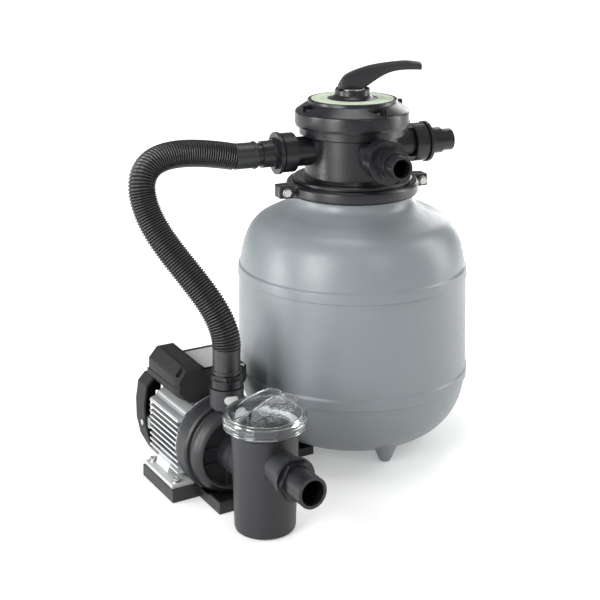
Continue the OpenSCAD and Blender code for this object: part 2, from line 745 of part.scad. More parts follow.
module rear_end_shield() {
    lug_x = 58.8;
    color(silver) on_shaft(housing_back - 6) difference() {
        union() {
            cylinder(r = barrel_r, h = 6 - gap);
            cylinder(r = 20, h = 18);
            cylinder(r = 44, h = 9);
            for (s = [0, 180]) rotate([0, 0, s]) translate([40, -7, -8]) cube([lug_x - 40, 14, 14 - gap]);
        }
        translate([0, 0, 6]) cylinder(r = 16 + gap, h = 30);
        translate([0, 0, -20]) cylinder(r = shaft_r + 1, h = 50);
        translate([0, 0, -4]) rotate([0, 90, 0]) translate([0, 0, -80]) cylinder(r = 1.75 + gap, h = 160);
        translate([0, 0, -20]) cylinder(r = 46, h = 20);
    }
}

module stator_core() {
    color(silver) on_shaft(-12) tube(44, 26.2, 42);
}

module stator_windings() {
    color(copper) for (y = [-24, 30.2]) on_shaft(y) difference() {
        cylinder(r = 41, h = 11.6);
        translate([0, 0, -1]) cylinder(r = 28, h = 14);
    }
}

module rotor_core() {
    color(silver) on_shaft(-12) tube(25.7, shaft_r, 42);
}

module motor_shaft() {
    color(steel) on_shaft(-56) cylinder(r = shaft_r, h = 142);
}

module bearings() {
    color(steel) for (y = [-29.9, 46]) on_shaft(y) tube(16, shaft_r + gap, 10);
}

module fan() {
    blades = 7;
    color(black) on_shaft(-55) difference() {
        union() {
            cylinder(r = 12, h = 13);
            translate([0, 0, 9]) cylinder(r = 40, h = 2.5);
            for (i = [0:blades - 1]) rotate([0, 0, 360 * i / blades]) translate([10, -1, 1]) cube([29, 2, 9]);
        }
        translate([0, 0, -1]) cylinder(r = shaft_r, h = 20);
    }
}

module fan_cover_outline(k) {
    half = [[20, -61], [34, -57], [46, -46], [58, -24], [63.5, 0], [64.5, 26], [61, 51], [51, 61.5]];
    polygon(concat([for (p = half) p * k], [for (i = [len(half) - 1:-1:0]) [-half[i][0], half[i][1]] * k]));
}

module fan_cover() {
    depth = 31;
    wall = 2.4;
    color(black) on_shaft(-66) difference() {
        union() {
            translate([0, 0, 3]) linear_extrude(depth - 3) fan_cover_outline(1);
            linear_extrude(3.5) fan_cover_outline(0.975);
        }
        translate([0, 0, wall]) linear_extrude(depth) fan_cover_outline(0.955);
        for (x = [-40:8:40]) translate([x - 2, -sqrt(44 * 44 - x * x), -1])
            cube([4, 2 * sqrt(44 * 44 - x * x), 6]);
        translate([0, 0, 26]) rotate([0, 90, 0]) translate([0, 0, -80]) cylinder(r = 2.1, h = 160);
    }
}

module fan_cover_screws() {
    head_x = 63.8;
    color(steel) on_shaft(-40) for (s = [0, 180]) rotate([0, 0, s]) rotate([0, 90, 0]) {
        translate([0, 0, 47]) cylinder(r = 1.75, h = head_x - 46);
        translate([0, 0, head_x + 0.2]) cylinder(r = 4, h = 1.8);
    }
}

// ---------- Terminal box on top of the motor ----------

box_front = 45;
box_length = 92;
box_split = 72.4;
cable_x = 20;           // sideways place of the cable's grommet
grommet_r = 5.6;        // its waist, held between box and lid

module terminal_box() {
    outline = [[-33, 49.1], [33, 49.1], [50, 58], [55, 64], [55, box_split], [-53.8, box_split], [-53.8, 68]];
    hollow = [[-31, 52], [31, 52], [47, 60.5], [52, 66], [52, 90], [-50.8, 90], [-50.8, 69]];
    wall = 3;
    back = box_front - box_length;
    // The rear end is shallower, to pass over the fan cover
    step_y = -34.4;
    step_z = 62.2;
    color(black) difference() {
        on_shaft(back) linear_extrude(box_length) polygon(outline);
        on_shaft(step_y + wall) linear_extrude(box_front - step_y - 2 * wall) polygon(hollow);
        on_shaft(back + wall) translate([-50.8, step_z + wall, 0]) cube([102.8, 30, box_length - 2 * wall]);
        on_shaft(back - 1) translate([-60, 40, 0]) cube([120, step_z - 40, step_y - back + 1]);
        on_shaft(back - 1) translate([cable_x, box_split, 0]) cylinder(r = grommet_r + gap, h = wall + 2);
    }
}

module terminal_box_lid() {
    top = 100.5;
    flat = 88.5;
    bottom = box_split + gap;
    outline = [[-53.8, bottom], [-53.8, 86.6], [-41, top], [-17, top], [-10, flat], [51, flat], [55, 84.5],
        [55, bottom]];
    hollow = [[-50.8, 70], [-50.8, 85.4], [-39.8, top - 3], [-18.6, top - 3], [-11.6, flat - 3],
        [49.8, flat - 3], [52, 83.2], [52, 70]];
    color(black) difference() {
        union() {
            difference() {
                on_shaft(box_front - box_length) linear_extrude(box_length) polygon(outline);
                on_shaft(box_front - box_length + 3) linear_extrude(box_length - 6) polygon(hollow);
            }
            intersection() {
                on_shaft(box_front - box_length) linear_extrude(box_length) polygon(outline);
                for (p = lid_screw_places) on_shaft(p[1]) translate([p[0], bottom, 0]) rotate([-90, 0, 0])
                    cylinder(r = 4.4, h = 30);
            }
        }
        on_shaft(box_front - box_length - 1) translate([cable_x, box_split, 0])
            cylinder(r = grommet_r + gap, h = 5);
        for (p = lid_screw_places) on_shaft(p[1]) translate([p[0], 0, 0]) rotate([-90, 0, 0]) {
            cylinder(r = 1.75 + gap, h = 120);
            translate([0, 0, p[2] - 3]) cylinder(r = 3.6, h = 20);
        }
    }
}

// Lid screws: sideways place, station along the shaft, and height of the rim of the pocket's floor
lid_screw_places = [[-46.5, 39.5, 86], [-46.5, -41.5, 86], [48, 39.5, 87], [48, -41.5, 87]];

module terminal_box_screws() {
    color(steel) for (p = lid_screw_places) on_shaft(p[1]) translate([p[0], 0, 0]) rotate([-90, 0, 0]) {
        translate([0, 0, box_split + 1]) cylinder(r = 1.75, h = p[2] - 3 - box_split);
        translate([0, 0, p[2] - 2.9]) cylinder(r = 3.4, h = 2);
    }
}

module rating_plate() {
    plate_t = 0.5;
    color(white) translate([-6, 4 - 37, pump_z + 88.5 + gap]) cube([46, 66, plate_t]);
}

module capacitor() {
    color(white) on_shaft(-30) translate([-30, 79.5, 0]) cylinder(r = 14, h = 60);
}

// Rubber grommet where the mains cable leaves the box
module cable_grommet() {
    groove = 3.1;
    flange = 1.5;
    sleeve = 9;
    back = box_front - box_length;
    color(rubber_black) on_shaft(back - sleeve) translate([cable_x, box_split, 0]) difference() {
        union() {
            cylinder(r = grommet_r - 0.8, h = sleeve);
            translate([0, 0, sleeve - flange - gap]) cylinder(r = grommet_r + 1.5, h = flange);
            translate([0, 0, sleeve - flange]) cylinder(r = grommet_r, h = groove + flange + gap);
            translate([0, 0, sleeve + groove]) cylinder(r = grommet_r + 1.5, h = flange);
        }
        translate([0, 0, -1]) cylinder(r = 3.4, h = 30);
    }
}

// ---------- Pump ----------

module pump_casing() {
    front = 132;
    chamber_r = 47;
    pipe_z = 144;
    bulge_r = 56;
    color(dark_grey) difference() {
        union() {
            on_shaft(0) rotate_extrude($fn = 128) polygon([
                [0, split_y + gap], [casing_r, split_y + gap],
                [casing_r, groove_y - 3], [casing_r - 2, groove_y],
                [54, groove_y + 0.5], [52.5, groove_y + 2],
                [52.5, groove_y + 4], [bulge_r - 1, groove_y + 5.5],
                [bulge_r, groove_y + 8], [bulge_r - 0.8, groove_y + 14], [bulge_r - 3, dish_y - 5],
                [bulge_r - 6.5, dish_y - 1.5], [47, dish_y],
                [45.4, dish_y - 0.8], [43, dish_y - 6], [0, dish_y - 6]]);
            on_shaft(dish_y - 8) {
                cylinder(r = 23.6, h = front - dish_y + 8);
                for (a = [0:90:270], y = [-10, 10])
                    rotate([0, 0, a]) translate([19, y - 1, 0]) cube([24, 2, 5]);
            }
            translate([0, -discharge_y, pump_z + 30]) cylinder(r = 18.5, h = 30);
            translate([0, -discharge_y, 119]) cylinder(r = 22.5, h = pipe_z - 119);
        }
        on_shaft(split_y - 1) cylinder(r = chamber_r, h = groove_y - split_y - 3);
        on_shaft(split_y + 10) cylinder(r = 38, h = dish_y - 9 - split_y - 10);
        on_shaft(90) cylinder(r = 13, h = 60);
        on_shaft(front - 13) cylinder(r = 17 + gap, h = 20);
        translate([0, -discharge_y, pump_z + 20]) cylinder(r = 14, h = 80);
        translate([0, -discharge_y, pipe_z - 20]) cylinder(r = 18 + gap, h = 30);
        on_shaft(split_y - 1) tube(52.5, 48.7, 4);
        for (a = [45:90:315]) on_shaft(split_y - 1) rotate([0, 0, a]) translate([55.5, 0, 0])
            cylinder(r = 2.1, h = 18);
    }
}

module casing_screws() {
    color(steel) for (a = [45:90:315]) on_shaft(flange_y - 0.1) rotate([0, 0, a]) translate([55.5, 0, 0]) {
        translate([0, 0, -4]) cylinder(r = 4.6, h = 4, $fn = 6);
        cylinder(r = 2, h = 22);
    }
}

module casing_oring() {
    color(rubber_black) on_shaft(split_y + 1.55) ring(50.6, 1.4);
}

module shaft_seal() {
    color(rubber_black) on_shaft(split_y - 3.8) tube(14, shaft_r + gap, 7);
}

module impeller() {
    vanes = 6;
    color(black) on_shaft(split_y + 5) difference() {
        union() {
            cylinder(r = 36, h = 3);
            cylinder(r = 11, h = 16);
            for (i = [0:vanes - 1]) rotate([0, 0, 360 * i / vanes]) translate([9, 4, 2.9]) rotate([0, 0, -25])
                cube([27, 2, 9]);
        }
        translate([0, 0, -1]) cylinder(r = shaft_r, h = 30);
    }
}

module discharge_nozzle() {
    face = 145.5;
    color(black) translate([0, -discharge_y, 0]) difference() {
        union() {
            translate([0, 0, 126]) cylinder(r = 18, h = 20);
            translate([0, 0, face]) cylinder(r = 21.5, h = 10.2);
            translate([0, 0, face + 10]) cylinder(r = 21, h = 6, $fn = 6);
            translate([0, 0, face + 10]) cylinder(r = step_small_r, h = 30);
        }
        translate([0, 0, 120]) cylinder(r = nozzle_bore_r, h = 80);
    }
}

// Blank oval sticker wrapped on the discharge collar
module inspection_sticker() {
    collar_r = 22.5;
    color(white) intersection() {
        translate([0, -discharge_y, 120]) tube(collar_r + 0.35, collar_r + gap, 24);
        translate([0, -discharge_y, 132.5]) rotate([0, 0, -11]) rotate([90, 0, 0]) {
            translate([-4, 0, 0]) cylinder(r = 5.2, h = 40);
            translate([4, 0, 0]) cylinder(r = 5.2, h = 40);
            translate([-4, -5.2, 0]) cube([8, 10.4, 40]);
        }
    }
}

// ---------- Strainer ----------

lid_z = 130;            // lower edge of the lid's skirt
lid_top_z = 147;
lid_r = 52.4;
neck_out_r = 48.4;
neck_top_z = 141;

module strainer_pot() {
    wall = 4;
    foot_r = 38.4;
    color(dark_grey) difference() {
        union() {
            strainer_frame() rotate_extrude($fn = 128) polygon([
                [0, 0], [foot_r - 4, 0], [foot_r - 1.2, 1.2], [foot_r, 4],
                [pot_r, pot_h - 4], [neck_out_r, pot_h],
                [neck_out_r, neck_top_z], [0, neck_top_z]]);
            strainer_frame() translate([0, 0, suction_z]) rotate([90, 0, 0]) {
                cylinder(r = 22, h = 70);
                translate([0, 0, 62]) cylinder(r = 23.5, h = 8);
            }
            on_shaft(119.2) cylinder(r = 17, h = 40);
            on_shaft(132.2) cylinder(r = 23, h = 24);
        }
        strainer_frame() {
            translate([0, 0, wall]) cylinder(r1 = foot_r - wall, r2 = pot_r - wall, h = 118);
            translate([0, 0, 121.9]) cylinder(r = pot_r - wall, h = 20);
            translate([0, 0, 128]) cylinder(r = 43.2, h = 30);
            translate([0, 0, suction_z]) rotate([90, 0, 0]) {
                translate([0, 0, 25]) cylinder(r = 16, h = 60);
                translate([0, 0, 55]) cylinder(r = 18 + gap, h = 30);
            }
        }
        on_shaft(118) cylinder(r = 13, h = 50);
    }
}

module strainer_lid() {
    wing_top = 167;
    wing_r = 66;
    wing_t = 3.6;
    color(clear) strainer_frame() difference() {
        union() {
            translate([0, 0, lid_z]) cylinder(r = lid_r, h = lid_top_z - lid_z - 2);
            translate([0, 0, lid_top_z - 2]) cylinder(r1 = lid_r, r2 = lid_r - 2, h = 2);
            for (z = [lid_z, lid_z + 6, lid_z + 12]) translate([0, 0, z]) cylinder(r = lid_r + 0.8, h = 2);
            rotate([0, 0, 20]) for (y = [-12, 12]) intersection() {
                translate([0, y + wing_t / 2, wing_top - wing_r]) rotate([90, 0, 0])
                    cylinder(r = wing_r, h = wing_t);
                translate([-60, -30, lid_top_z - 1]) cube([120, 60, 60]);
                cylinder(r = lid_r - 4, h = 300);
            }
        }
        translate([0, 0, lid_z - 1]) cylinder(r = neck_out_r + gap, h = neck_top_z - lid_z + 1);
        translate([0, 0, lid_z]) cylinder(r = 46.8, h = neck_top_z + 2.4 - lid_z);
    }
}

module lid_oring() {
    color(rubber_black) strainer_frame() translate([0, 0, neck_top_z + 1.2]) ring(45.4, 1.15);
}

module strainer_basket() {
    basket_r = 35;
    color(white) strainer_frame() difference() {
        union() {
            translate([0, 0, 30]) cylinder(r1 = basket_r - 3, r2 = basket_r, h = 102);
            translate([0, 0, 128 + gap]) cylinder(r = 42.6, h = 3);
        }
        translate([0, 0, 32]) cylinder(r1 = basket_r - 5, r2 = basket_r - 2, h = 101);
        for (a = [0:22.5:337.5], z = [38, 68, 98]) rotate([0, 0, a])
            translate([20, -2.5, z]) cube([30, 5, 24]);
    }
}

module suction_nozzle() {
    face = 71;
    color(black) strainer_frame() translate([0, 0, suction_z]) rotate([90, 0, 0]) difference() {
        union() {
            translate([0, 0, 56]) cylinder(r = 18, h = 20);
            translate([0, 0, face]) cylinder(r = 26.5, h = 5);
            translate([0, 0, face + 4.9]) cylinder(r = 24.5, h = 6, $fn = 6);
            translate([0, 0, face]) cylinder(r = step_big_r, h = suction_reach - face);
        }
        translate([0, 0, 50]) cylinder(r = 15, h = 100);
    }
}

tank_shell();
neck_gasket();
clamp_front();
clamp_rear();
clamp_bolts();
clamp_nuts();
standpipe();
lateral_hub();
laterals();
air_bleed_screen();
drain_plug();
drain_plug_seal();
valve_body();
spider_gasket();
valve_cover();
cover_screws();
cover_oring();
valve_rotor();
stem_oring();
rotor_spring();
slip_washers();
position_plate();
handle();
handle_pin();
valve_nozzles();
nozzle_orings();
hose();
hose_cuff_upper();
hose_cuff_lower();
base_plate();
motor_housing();
foot_bolts();
motor_flange();
rear_end_shield();
stator_core();
stator_windings();
rotor_core();
motor_shaft();
bearings();
fan();
fan_cover();
fan_cover_screws();
terminal_box();
terminal_box_lid();
terminal_box_screws();
rating_plate();
capacitor();
cable_grommet();
pump_casing();
casing_screws();
casing_oring();
shaft_seal();
impeller();
discharge_nozzle();
inspection_sticker();
strainer_pot();
strainer_lid();
lid_oring();
strainer_basket();
suction_nozzle();
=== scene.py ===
"""Looks for a small pool sand filter set: tank, multiport valve, hose and strainer pump.

Shapes are drawn in millimetres and scaled to metres when a piece is made. The CAD frame gives the
places; pieces that the CAD draws plainly are rebuilt here with their moulded detail, and the rest
keep their CAD mesh with rounded edges. All finishes are node materials.
"""
import json
import math

import bmesh
import bpy
from mathutils import Matrix, Vector


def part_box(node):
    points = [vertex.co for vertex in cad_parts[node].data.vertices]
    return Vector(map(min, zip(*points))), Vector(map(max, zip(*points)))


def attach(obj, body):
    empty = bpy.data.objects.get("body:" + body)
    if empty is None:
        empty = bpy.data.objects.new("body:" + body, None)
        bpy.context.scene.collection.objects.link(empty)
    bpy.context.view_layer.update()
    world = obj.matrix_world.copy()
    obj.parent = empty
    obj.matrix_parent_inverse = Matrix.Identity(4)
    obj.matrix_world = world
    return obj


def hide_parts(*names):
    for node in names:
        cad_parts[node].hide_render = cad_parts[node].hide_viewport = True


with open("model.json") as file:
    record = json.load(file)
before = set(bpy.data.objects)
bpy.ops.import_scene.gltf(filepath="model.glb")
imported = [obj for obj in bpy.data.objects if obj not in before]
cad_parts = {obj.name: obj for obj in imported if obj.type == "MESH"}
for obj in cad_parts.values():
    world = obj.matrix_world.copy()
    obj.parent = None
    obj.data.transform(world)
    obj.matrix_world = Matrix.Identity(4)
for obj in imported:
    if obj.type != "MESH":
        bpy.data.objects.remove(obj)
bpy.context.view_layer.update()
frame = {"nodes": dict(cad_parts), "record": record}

MM = 0.001
TAU = 2 * math.pi


# ---------- Places, in millimetres, from the frame ----------

def low(node):
    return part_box(node)[0] / MM


def high(node):
    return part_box(node)[1] / MM


def middle(node):
    return (low(node) + high(node)) / 2


TANK_TURN = -8.5
HANDLE_TURN = -34.5
PORT_Z = 55.0
tank_x = middle("standpipe").x
valve_z = low("valve_body").z
shaft_z = middle("motor_shaft").z
strainer = middle("strainer_basket")
discharge = middle("discharge_nozzle")


def moved(x=0.0, y=0.0, z=0.0):
    return Matrix.Translation((x, y, z))


def turned(degrees, axis):
    return Matrix.Rotation(math.radians(degrees), 4, axis)


tank_place = moved(tank_x) @ turned(TANK_TURN, "Z")
valve_place = tank_place @ moved(z=valve_z)
handle_place = moved(tank_x, 0, valve_z) @ turned(HANDLE_TURN, "Z")
strainer_place = moved(strainer.x, strainer.y)


def shaft_place(station):
    """The pump shaft's frame at a distance in front of the tank's axis, with +Z towards -Y."""
    return moved(0, -station, shaft_z) @ turned(90, "X")


# ---------- Mesh helpers ----------

def make(name, bm, place=None):
    """An object from a bmesh drawn in millimetres."""
    bmesh.ops.remove_doubles(bm, verts=bm.verts, dist=1e-4)
    bmesh.ops.recalc_face_normals(bm, faces=bm.faces)
    mesh = bpy.data.meshes.new(name)
    bm.to_mesh(mesh)
    bm.free()
    mesh.transform(Matrix.Scale(MM, 4) @ (place or Matrix()))
    obj = bpy.data.objects.new(name, mesh)
    bpy.context.scene.collection.objects.link(obj)
    return obj


def smooth(obj, angle=32):
    """Smooth shading that keeps edges sharper than the angle."""
    obj.data.shade_smooth()
    obj.data.set_sharp_from_angle(angle=math.radians(angle))


def apply_modifiers(obj):
    bpy.context.view_layer.update()
    graph = bpy.context.evaluated_depsgraph_get()
    mesh = bpy.data.meshes.new_from_object(obj.evaluated_get(graph))
    obj.modifiers.clear()
    obj.data = mesh


def combine(target, tools, operation):
    """Adds the tools to the target or cuts them from it, and removes them."""
    for tool in tools:
        modifier = target.modifiers.new("combine", "BOOLEAN")
        modifier.object = tool
        modifier.operation = operation
        modifier.solver = "EXACT"
    apply_modifiers(target)
    for tool in tools:
        bpy.data.objects.remove(tool)
    return target


def rounded(points, radius, steps=4):
    """A closed outline with its corners rounded; a third value in a point is its own radius."""
    result = []
    count = len(points)
    for i, point in enumerate(points):
        here = Vector(point[:2])
        size = point[2] if len(point) > 2 else radius
        back = Vector(points[i - 1][:2]) - here
        ahead = Vector(points[(i + 1) % count][:2]) - here
        if size <= 0 or back.length < 1e-6 or ahead.length < 1e-6:
            result.append(here)
            continue
        angle = back.angle(ahead)
        if angle > math.radians(176):
            result.append(here)
            continue
        reach = min(size / math.tan(angle / 2), 0.48 * back.length, 0.48 * ahead.length)
        start = here + back.normalized() * reach
        end = here + ahead.normalized() * reach
        for k in range(steps + 1):
            t = k / steps
            result.append(start * (1 - t) ** 2 + here * 2 * t * (1 - t) + end * t * t)
    return [(p.x, p.y) for p in result]


def bridge(bm, a, b):
    """Faces between two rings of vertices; a ring of one vertex is a pole."""
    count = max(len(a), len(b))
    for k in range(count):
        n = (k + 1) % count
        if len(a) == 1 and len(b) > 1:
            bm.faces.new((a[0], b[k], b[n]))
        elif len(b) == 1 and len(a) > 1:
            bm.faces.new((a[k], b[0], a[n]))
        elif len(a) > 1:
            bm.faces.new((a[k], b[k], b[n], a[n]))


def lathe(name, profile, place=None, sides=96):
    """A closed solid of revolution from a closed (radius, height) outline."""
    bm = bmesh.new()
    rings = []
    for r, z in profile:
        if r < 1e-6:
            rings.append([bm.verts.new((0, 0, z))])
        else:
            rings.append([bm.verts.new((r * math.cos(TAU * k / sides), r * math.sin(TAU * k / sides), z))
                          for k in range(sides)])
    for i, ring in enumerate(rings):
        bridge(bm, ring, rings[(i + 1) % len(rings)])
    return make(name, bm, place)


def loft(name, rings, place=None, looped=False):
    """A skin over rings of points, closed at both ends or joined into a loop."""
    bm = bmesh.new()
    loops = [[bm.verts.new(p) for p in ring] for ring in rings]
    for a, b in zip(loops, loops[1:]):
        bridge(bm, a, b)
    if looped:
        bridge(bm, loops[-1], loops[0])
    else:
        bm.faces.new(loops[0])
        bm.faces.new(loops[-1])
    return make(name, bm, place)


def prism(name, outline, depth, place=None, edge=0.0, segments=3):
    """The outline drawn out along +Z, with both end edges rounded."""
    bm = bmesh.new()
    bottom = [bm.verts.new((x, y, 0)) for x, y in outline]
    top = [bm.verts.new((x, y, depth)) for x, y in outline]
    bridge(bm, bottom, top)
    caps = [bm.faces.new(bottom), bm.faces.new(top)]
    if edge > 0:
        edges = list({e for f in caps for e in f.edges})
        bmesh.ops.bevel(bm, geom=edges, offset=edge, segments=segments, affect="EDGES", profile=0.5)
    return make(name, bm, place)


def rectangle(x0, y0, x1, y1):
    return [(x0, y0), (x1, y0), (x1, y1), (x0, y1)]


def block(name, size, place=None, edge=0.0):
    """A box centred on its place in X and Y and standing on it in Z."""
    x, y, z = size
    return prism(name, rectangle(-x / 2, -y / 2, x / 2, y / 2), z, place, edge)


def rod(name, radius, length, place=None, sides=48):
    outline = [(radius * math.cos(TAU * k / sides), radius * math.sin(TAU * k / sides)) for k in range(sides)]
    return prism(name, outline, length, place)


def smooth_line(points, steps):
    """A curve through the points (Catmull-Rom)."""
    vectors = [Vector(p) for p in points]
    ends = [2 * vectors[0] - vectors[1]] + vectors + [2 * vectors[-1] - vectors[-2]]
    result = []
    for a, b, c, d in zip(ends, ends[1:], ends[2:], ends[3:]):
        for k in range(steps):
            t = k / steps
            result.append(0.5 * (2 * b + (c - a) * t + (2 * a - 5 * b + 4 * c - d) * t ** 2
                                 + (3 * b - a - 3 * c + d) * t ** 3))
    return result + [vectors[-1]]


# ---------- Finishes ----------

class Shader:
    """A node material round one Principled shader."""

    def __init__(self, name):
        self.material = bpy.data.materials.new(name)
        self.material.use_nodes = True
        self.nodes = self.material.node_tree.nodes
        self.links = self.material.node_tree.links
        self.surface = self.nodes["Principled BSDF"]
        self.place = self.add("ShaderNodeTexCoord").outputs["Object"]

    def add(self, kind, inputs=None, **settings):
        node = self.nodes.new(kind)
        for key, value in settings.items():
            setattr(node, key, value)
        for key, value in (inputs or {}).items():
            if isinstance(value, bpy.types.NodeSocket):
                self.links.new(value, node.inputs[key])
            else:
                node.inputs[key].default_value = value
        return node

    def give(self, key, value):
        if isinstance(value, bpy.types.NodeSocket):
            self.links.new(value, self.surface.inputs[key])
        else:
            self.surface.inputs[key].default_value = value

    def noise(self, size, detail=3.0, stretch=(1, 1, 1), rough=0.55):
        """Noise whose features are about size millimetres."""
        mapping = self.add("ShaderNodeMapping", {"Vector": self.place, "Scale": stretch})
        return self.add("ShaderNodeTexNoise", {"Vector": mapping.outputs[0], "Scale": 1 / (size * MM),
                                               "Detail": detail, "Roughness": rough}).outputs["Fac"]

    def math(self, operation, a, b=0.0):
        return self.add("ShaderNodeMath", {0: a, 1: b}, operation=operation).outputs[0]

    def remap(self, value, a, b, to_a, to_b):
        return self.add("ShaderNodeMapRange", {"Value": value, "From Min": a, "From Max": b,
                                               "To Min": to_a, "To Max": to_b}).outputs[0]

    def mix(self, amount, a, b):
        node = self.add("ShaderNodeMix", {"Factor": amount}, data_type="RGBA")
        for key, value in ((6, a), (7, b)):
            if isinstance(value, bpy.types.NodeSocket):
                self.links.new(value, node.inputs[key])
            else:
                node.inputs[key].default_value = (*value, 1)
        return node.outputs[2]

    def bump(self, height, strength, distance, below=None):
        inputs = {"Height": height, "Strength": strength, "Distance": distance * MM}
        if below:
            inputs["Normal"] = below
        return self.add("ShaderNodeBump", inputs).outputs[0]


def shade(colour, factor):
    return tuple(min(1.0, c * factor) for c in colour)


def moulded(name, colour, roughness, grain, relief, wave=0.0, dust=0.10, edge=0.25,
            specular=0.5, spread=0.07):
    """Moulded plastic or paint: fine grain, slow tone changes, paler edges that are partly wear and partly a
    painted highlight, and a little dust on top.
    """
    s = Shader(name)
    tone = s.noise(45, 4)
    flow = s.noise(9, 3, (1, 1, 0.35))
    base = s.mix(tone, shade(colour, 1 - spread), shade(colour, 1 + spread))
    base = s.mix(s.remap(flow, 0.35, 0.75, 0, 0.5), base, shade(colour, 1 + 2 * spread))
    # Convex edges mixed paler: partly edge wear, partly a painted highlight
    sharp = s.add("ShaderNodeNewGeometry").outputs["Pointiness"]
    base = s.mix(s.remap(sharp, 0.51, 0.6, 0, edge), base, shade(colour, 2.2))
    normal = s.add("ShaderNodeNewGeometry").outputs["Normal"]
    upward = s.add("ShaderNodeSeparateXYZ", {0: normal}).outputs[2]
    film = s.math("MULTIPLY", s.remap(upward, 0.55, 1, 0, dust), s.remap(s.noise(14, 5), 0.4, 0.7, 0.2, 1))
    s.give("Base Color", s.mix(film, base, (0.42, 0.41, 0.39)))
    wear = s.noise(5, 6, (1, 0.15, 1))
    s.give("Roughness", s.math("ADD", s.remap(wear, 0.3, 0.7, roughness - 0.06, roughness + 0.07),
                               s.math("MULTIPLY", film, 0.5)))
    s.give("Specular IOR Level", specular)
    fine = s.bump(s.noise(grain, 2), relief, 0.12)
    if wave > 0:
        fine = s.bump(s.noise(55, 1), wave, 1.0, fine)
    s.give("Normal", fine)
    return s.material


def metal(name, colour, roughness, grain, relief, stretch=(1, 1, 1), metallic=1.0):
    """Bare metal with cast or drawn grain, duller patches and bright edges that are partly wear and partly a
    painted highlight.
    """
    s = Shader(name)
    patch = s.noise(22, 5)
    base = s.mix(patch, shade(colour, 0.86), shade(colour, 1.08))
    # Convex edges mixed brighter: partly edge wear, partly a painted highlight
    sharp = s.add("ShaderNodeNewGeometry").outputs["Pointiness"]
    base = s.mix(s.remap(sharp, 0.51, 0.58, 0, 0.6), base, shade(colour, 1.5))
    s.give("Base Color", base)
    s.give("Metallic", metallic)
    s.give("Roughness", s.remap(s.noise(8, 5), 0.3, 0.7, roughness - 0.07, roughness + 0.1))
    s.give("Normal", s.bump(s.noise(grain, 3, stretch), relief, 0.12))
    return s.material


def cast_aluminium():
    """Satin die casting: painted highlights on the fin tips, the edges and a crest line, and paler feet."""
    # Places in metres: across from the shaft's plane, and heights above the floor
    tip_from, tip_full = 0.0572, 0.0578
    foot_full, foot_end = 0.030, 0.042
    crest_z, crest_half, crest_reach = 0.1065, 0.0009, 0.0485
    s = Shader("cast_aluminium")
    axes = s.add("ShaderNodeSeparateXYZ", {0: s.place})
    out = s.math("ABSOLUTE", axes.outputs[0])
    # Fin tips: mask for a painted highlight
    tip = s.remap(out, tip_from, tip_full, 0, 1)
    foot = s.remap(axes.outputs[2], foot_full, foot_end, 1, 0)
    body = s.mix(s.noise(22, 5), (0.15, 0.165, 0.175), (0.19, 0.205, 0.215))
    base = s.mix(foot, body, (0.46, 0.48, 0.49))
    # Convex edges mixed brighter: a painted highlight
    sharp = s.add("ShaderNodeNewGeometry").outputs["Pointiness"]
    base = s.mix(s.remap(sharp, 0.51, 0.58, 0, 0.6), base, (0.75, 0.76, 0.76))
    # Painted highlight: a bright line along the crest, and a paler band on the fin tips
    height = s.math("ABSOLUTE", s.math("SUBTRACT", axes.outputs[2], crest_z))
    crest = s.math("MULTIPLY", s.math("LESS_THAN", height, crest_half), s.math("LESS_THAN", out, crest_reach))
    painted_highlight = s.math("MAXIMUM", s.math("MULTIPLY", tip, 0.32), s.math("MULTIPLY", crest, 0.9))
    s.give("Base Color", s.mix(painted_highlight, base, (0.66, 0.67, 0.66)))
    s.give("Metallic", 0.35)
    s.give("Roughness", s.remap(s.noise(8, 5), 0.3, 0.7, 0.34, 0.5))
    s.give("Normal", s.bump(s.noise(0.8, 3, (1, 0.2, 1)), 0.3, 0.12))
    return s.material


def clear_plastic():
    """Clear polycarbonate: tinted, with a slightly wavy moulded skin."""
    s = Shader("clear_plastic")
    s.give("Base Color", s.mix(s.noise(30, 2), (0.93, 0.955, 0.96), (0.98, 0.99, 0.99)))
    s.give("Roughness", s.remap(s.noise(12, 4), 0.3, 0.7, 0.02, 0.07))
    s.give("Transmission Weight", 1.0)
    s.give("IOR", 1.46)
    s.give("Normal", s.bump(s.noise(16, 2), 0.03, 0.2))
    through = s.add("ShaderNodeBsdfTransparent", {"Color": (0.92, 0.94, 0.95, 1)})
    shadow = s.add("ShaderNodeLightPath").outputs["Is Shadow Ray"]
    mixed = s.add("ShaderNodeMixShader", {0: shadow, 1: s.surface.outputs[0], 2: through.outputs[0]})
    s.links.new(mixed.outputs[0], s.nodes["Material Output"].inputs["Surface"])
    return s.material


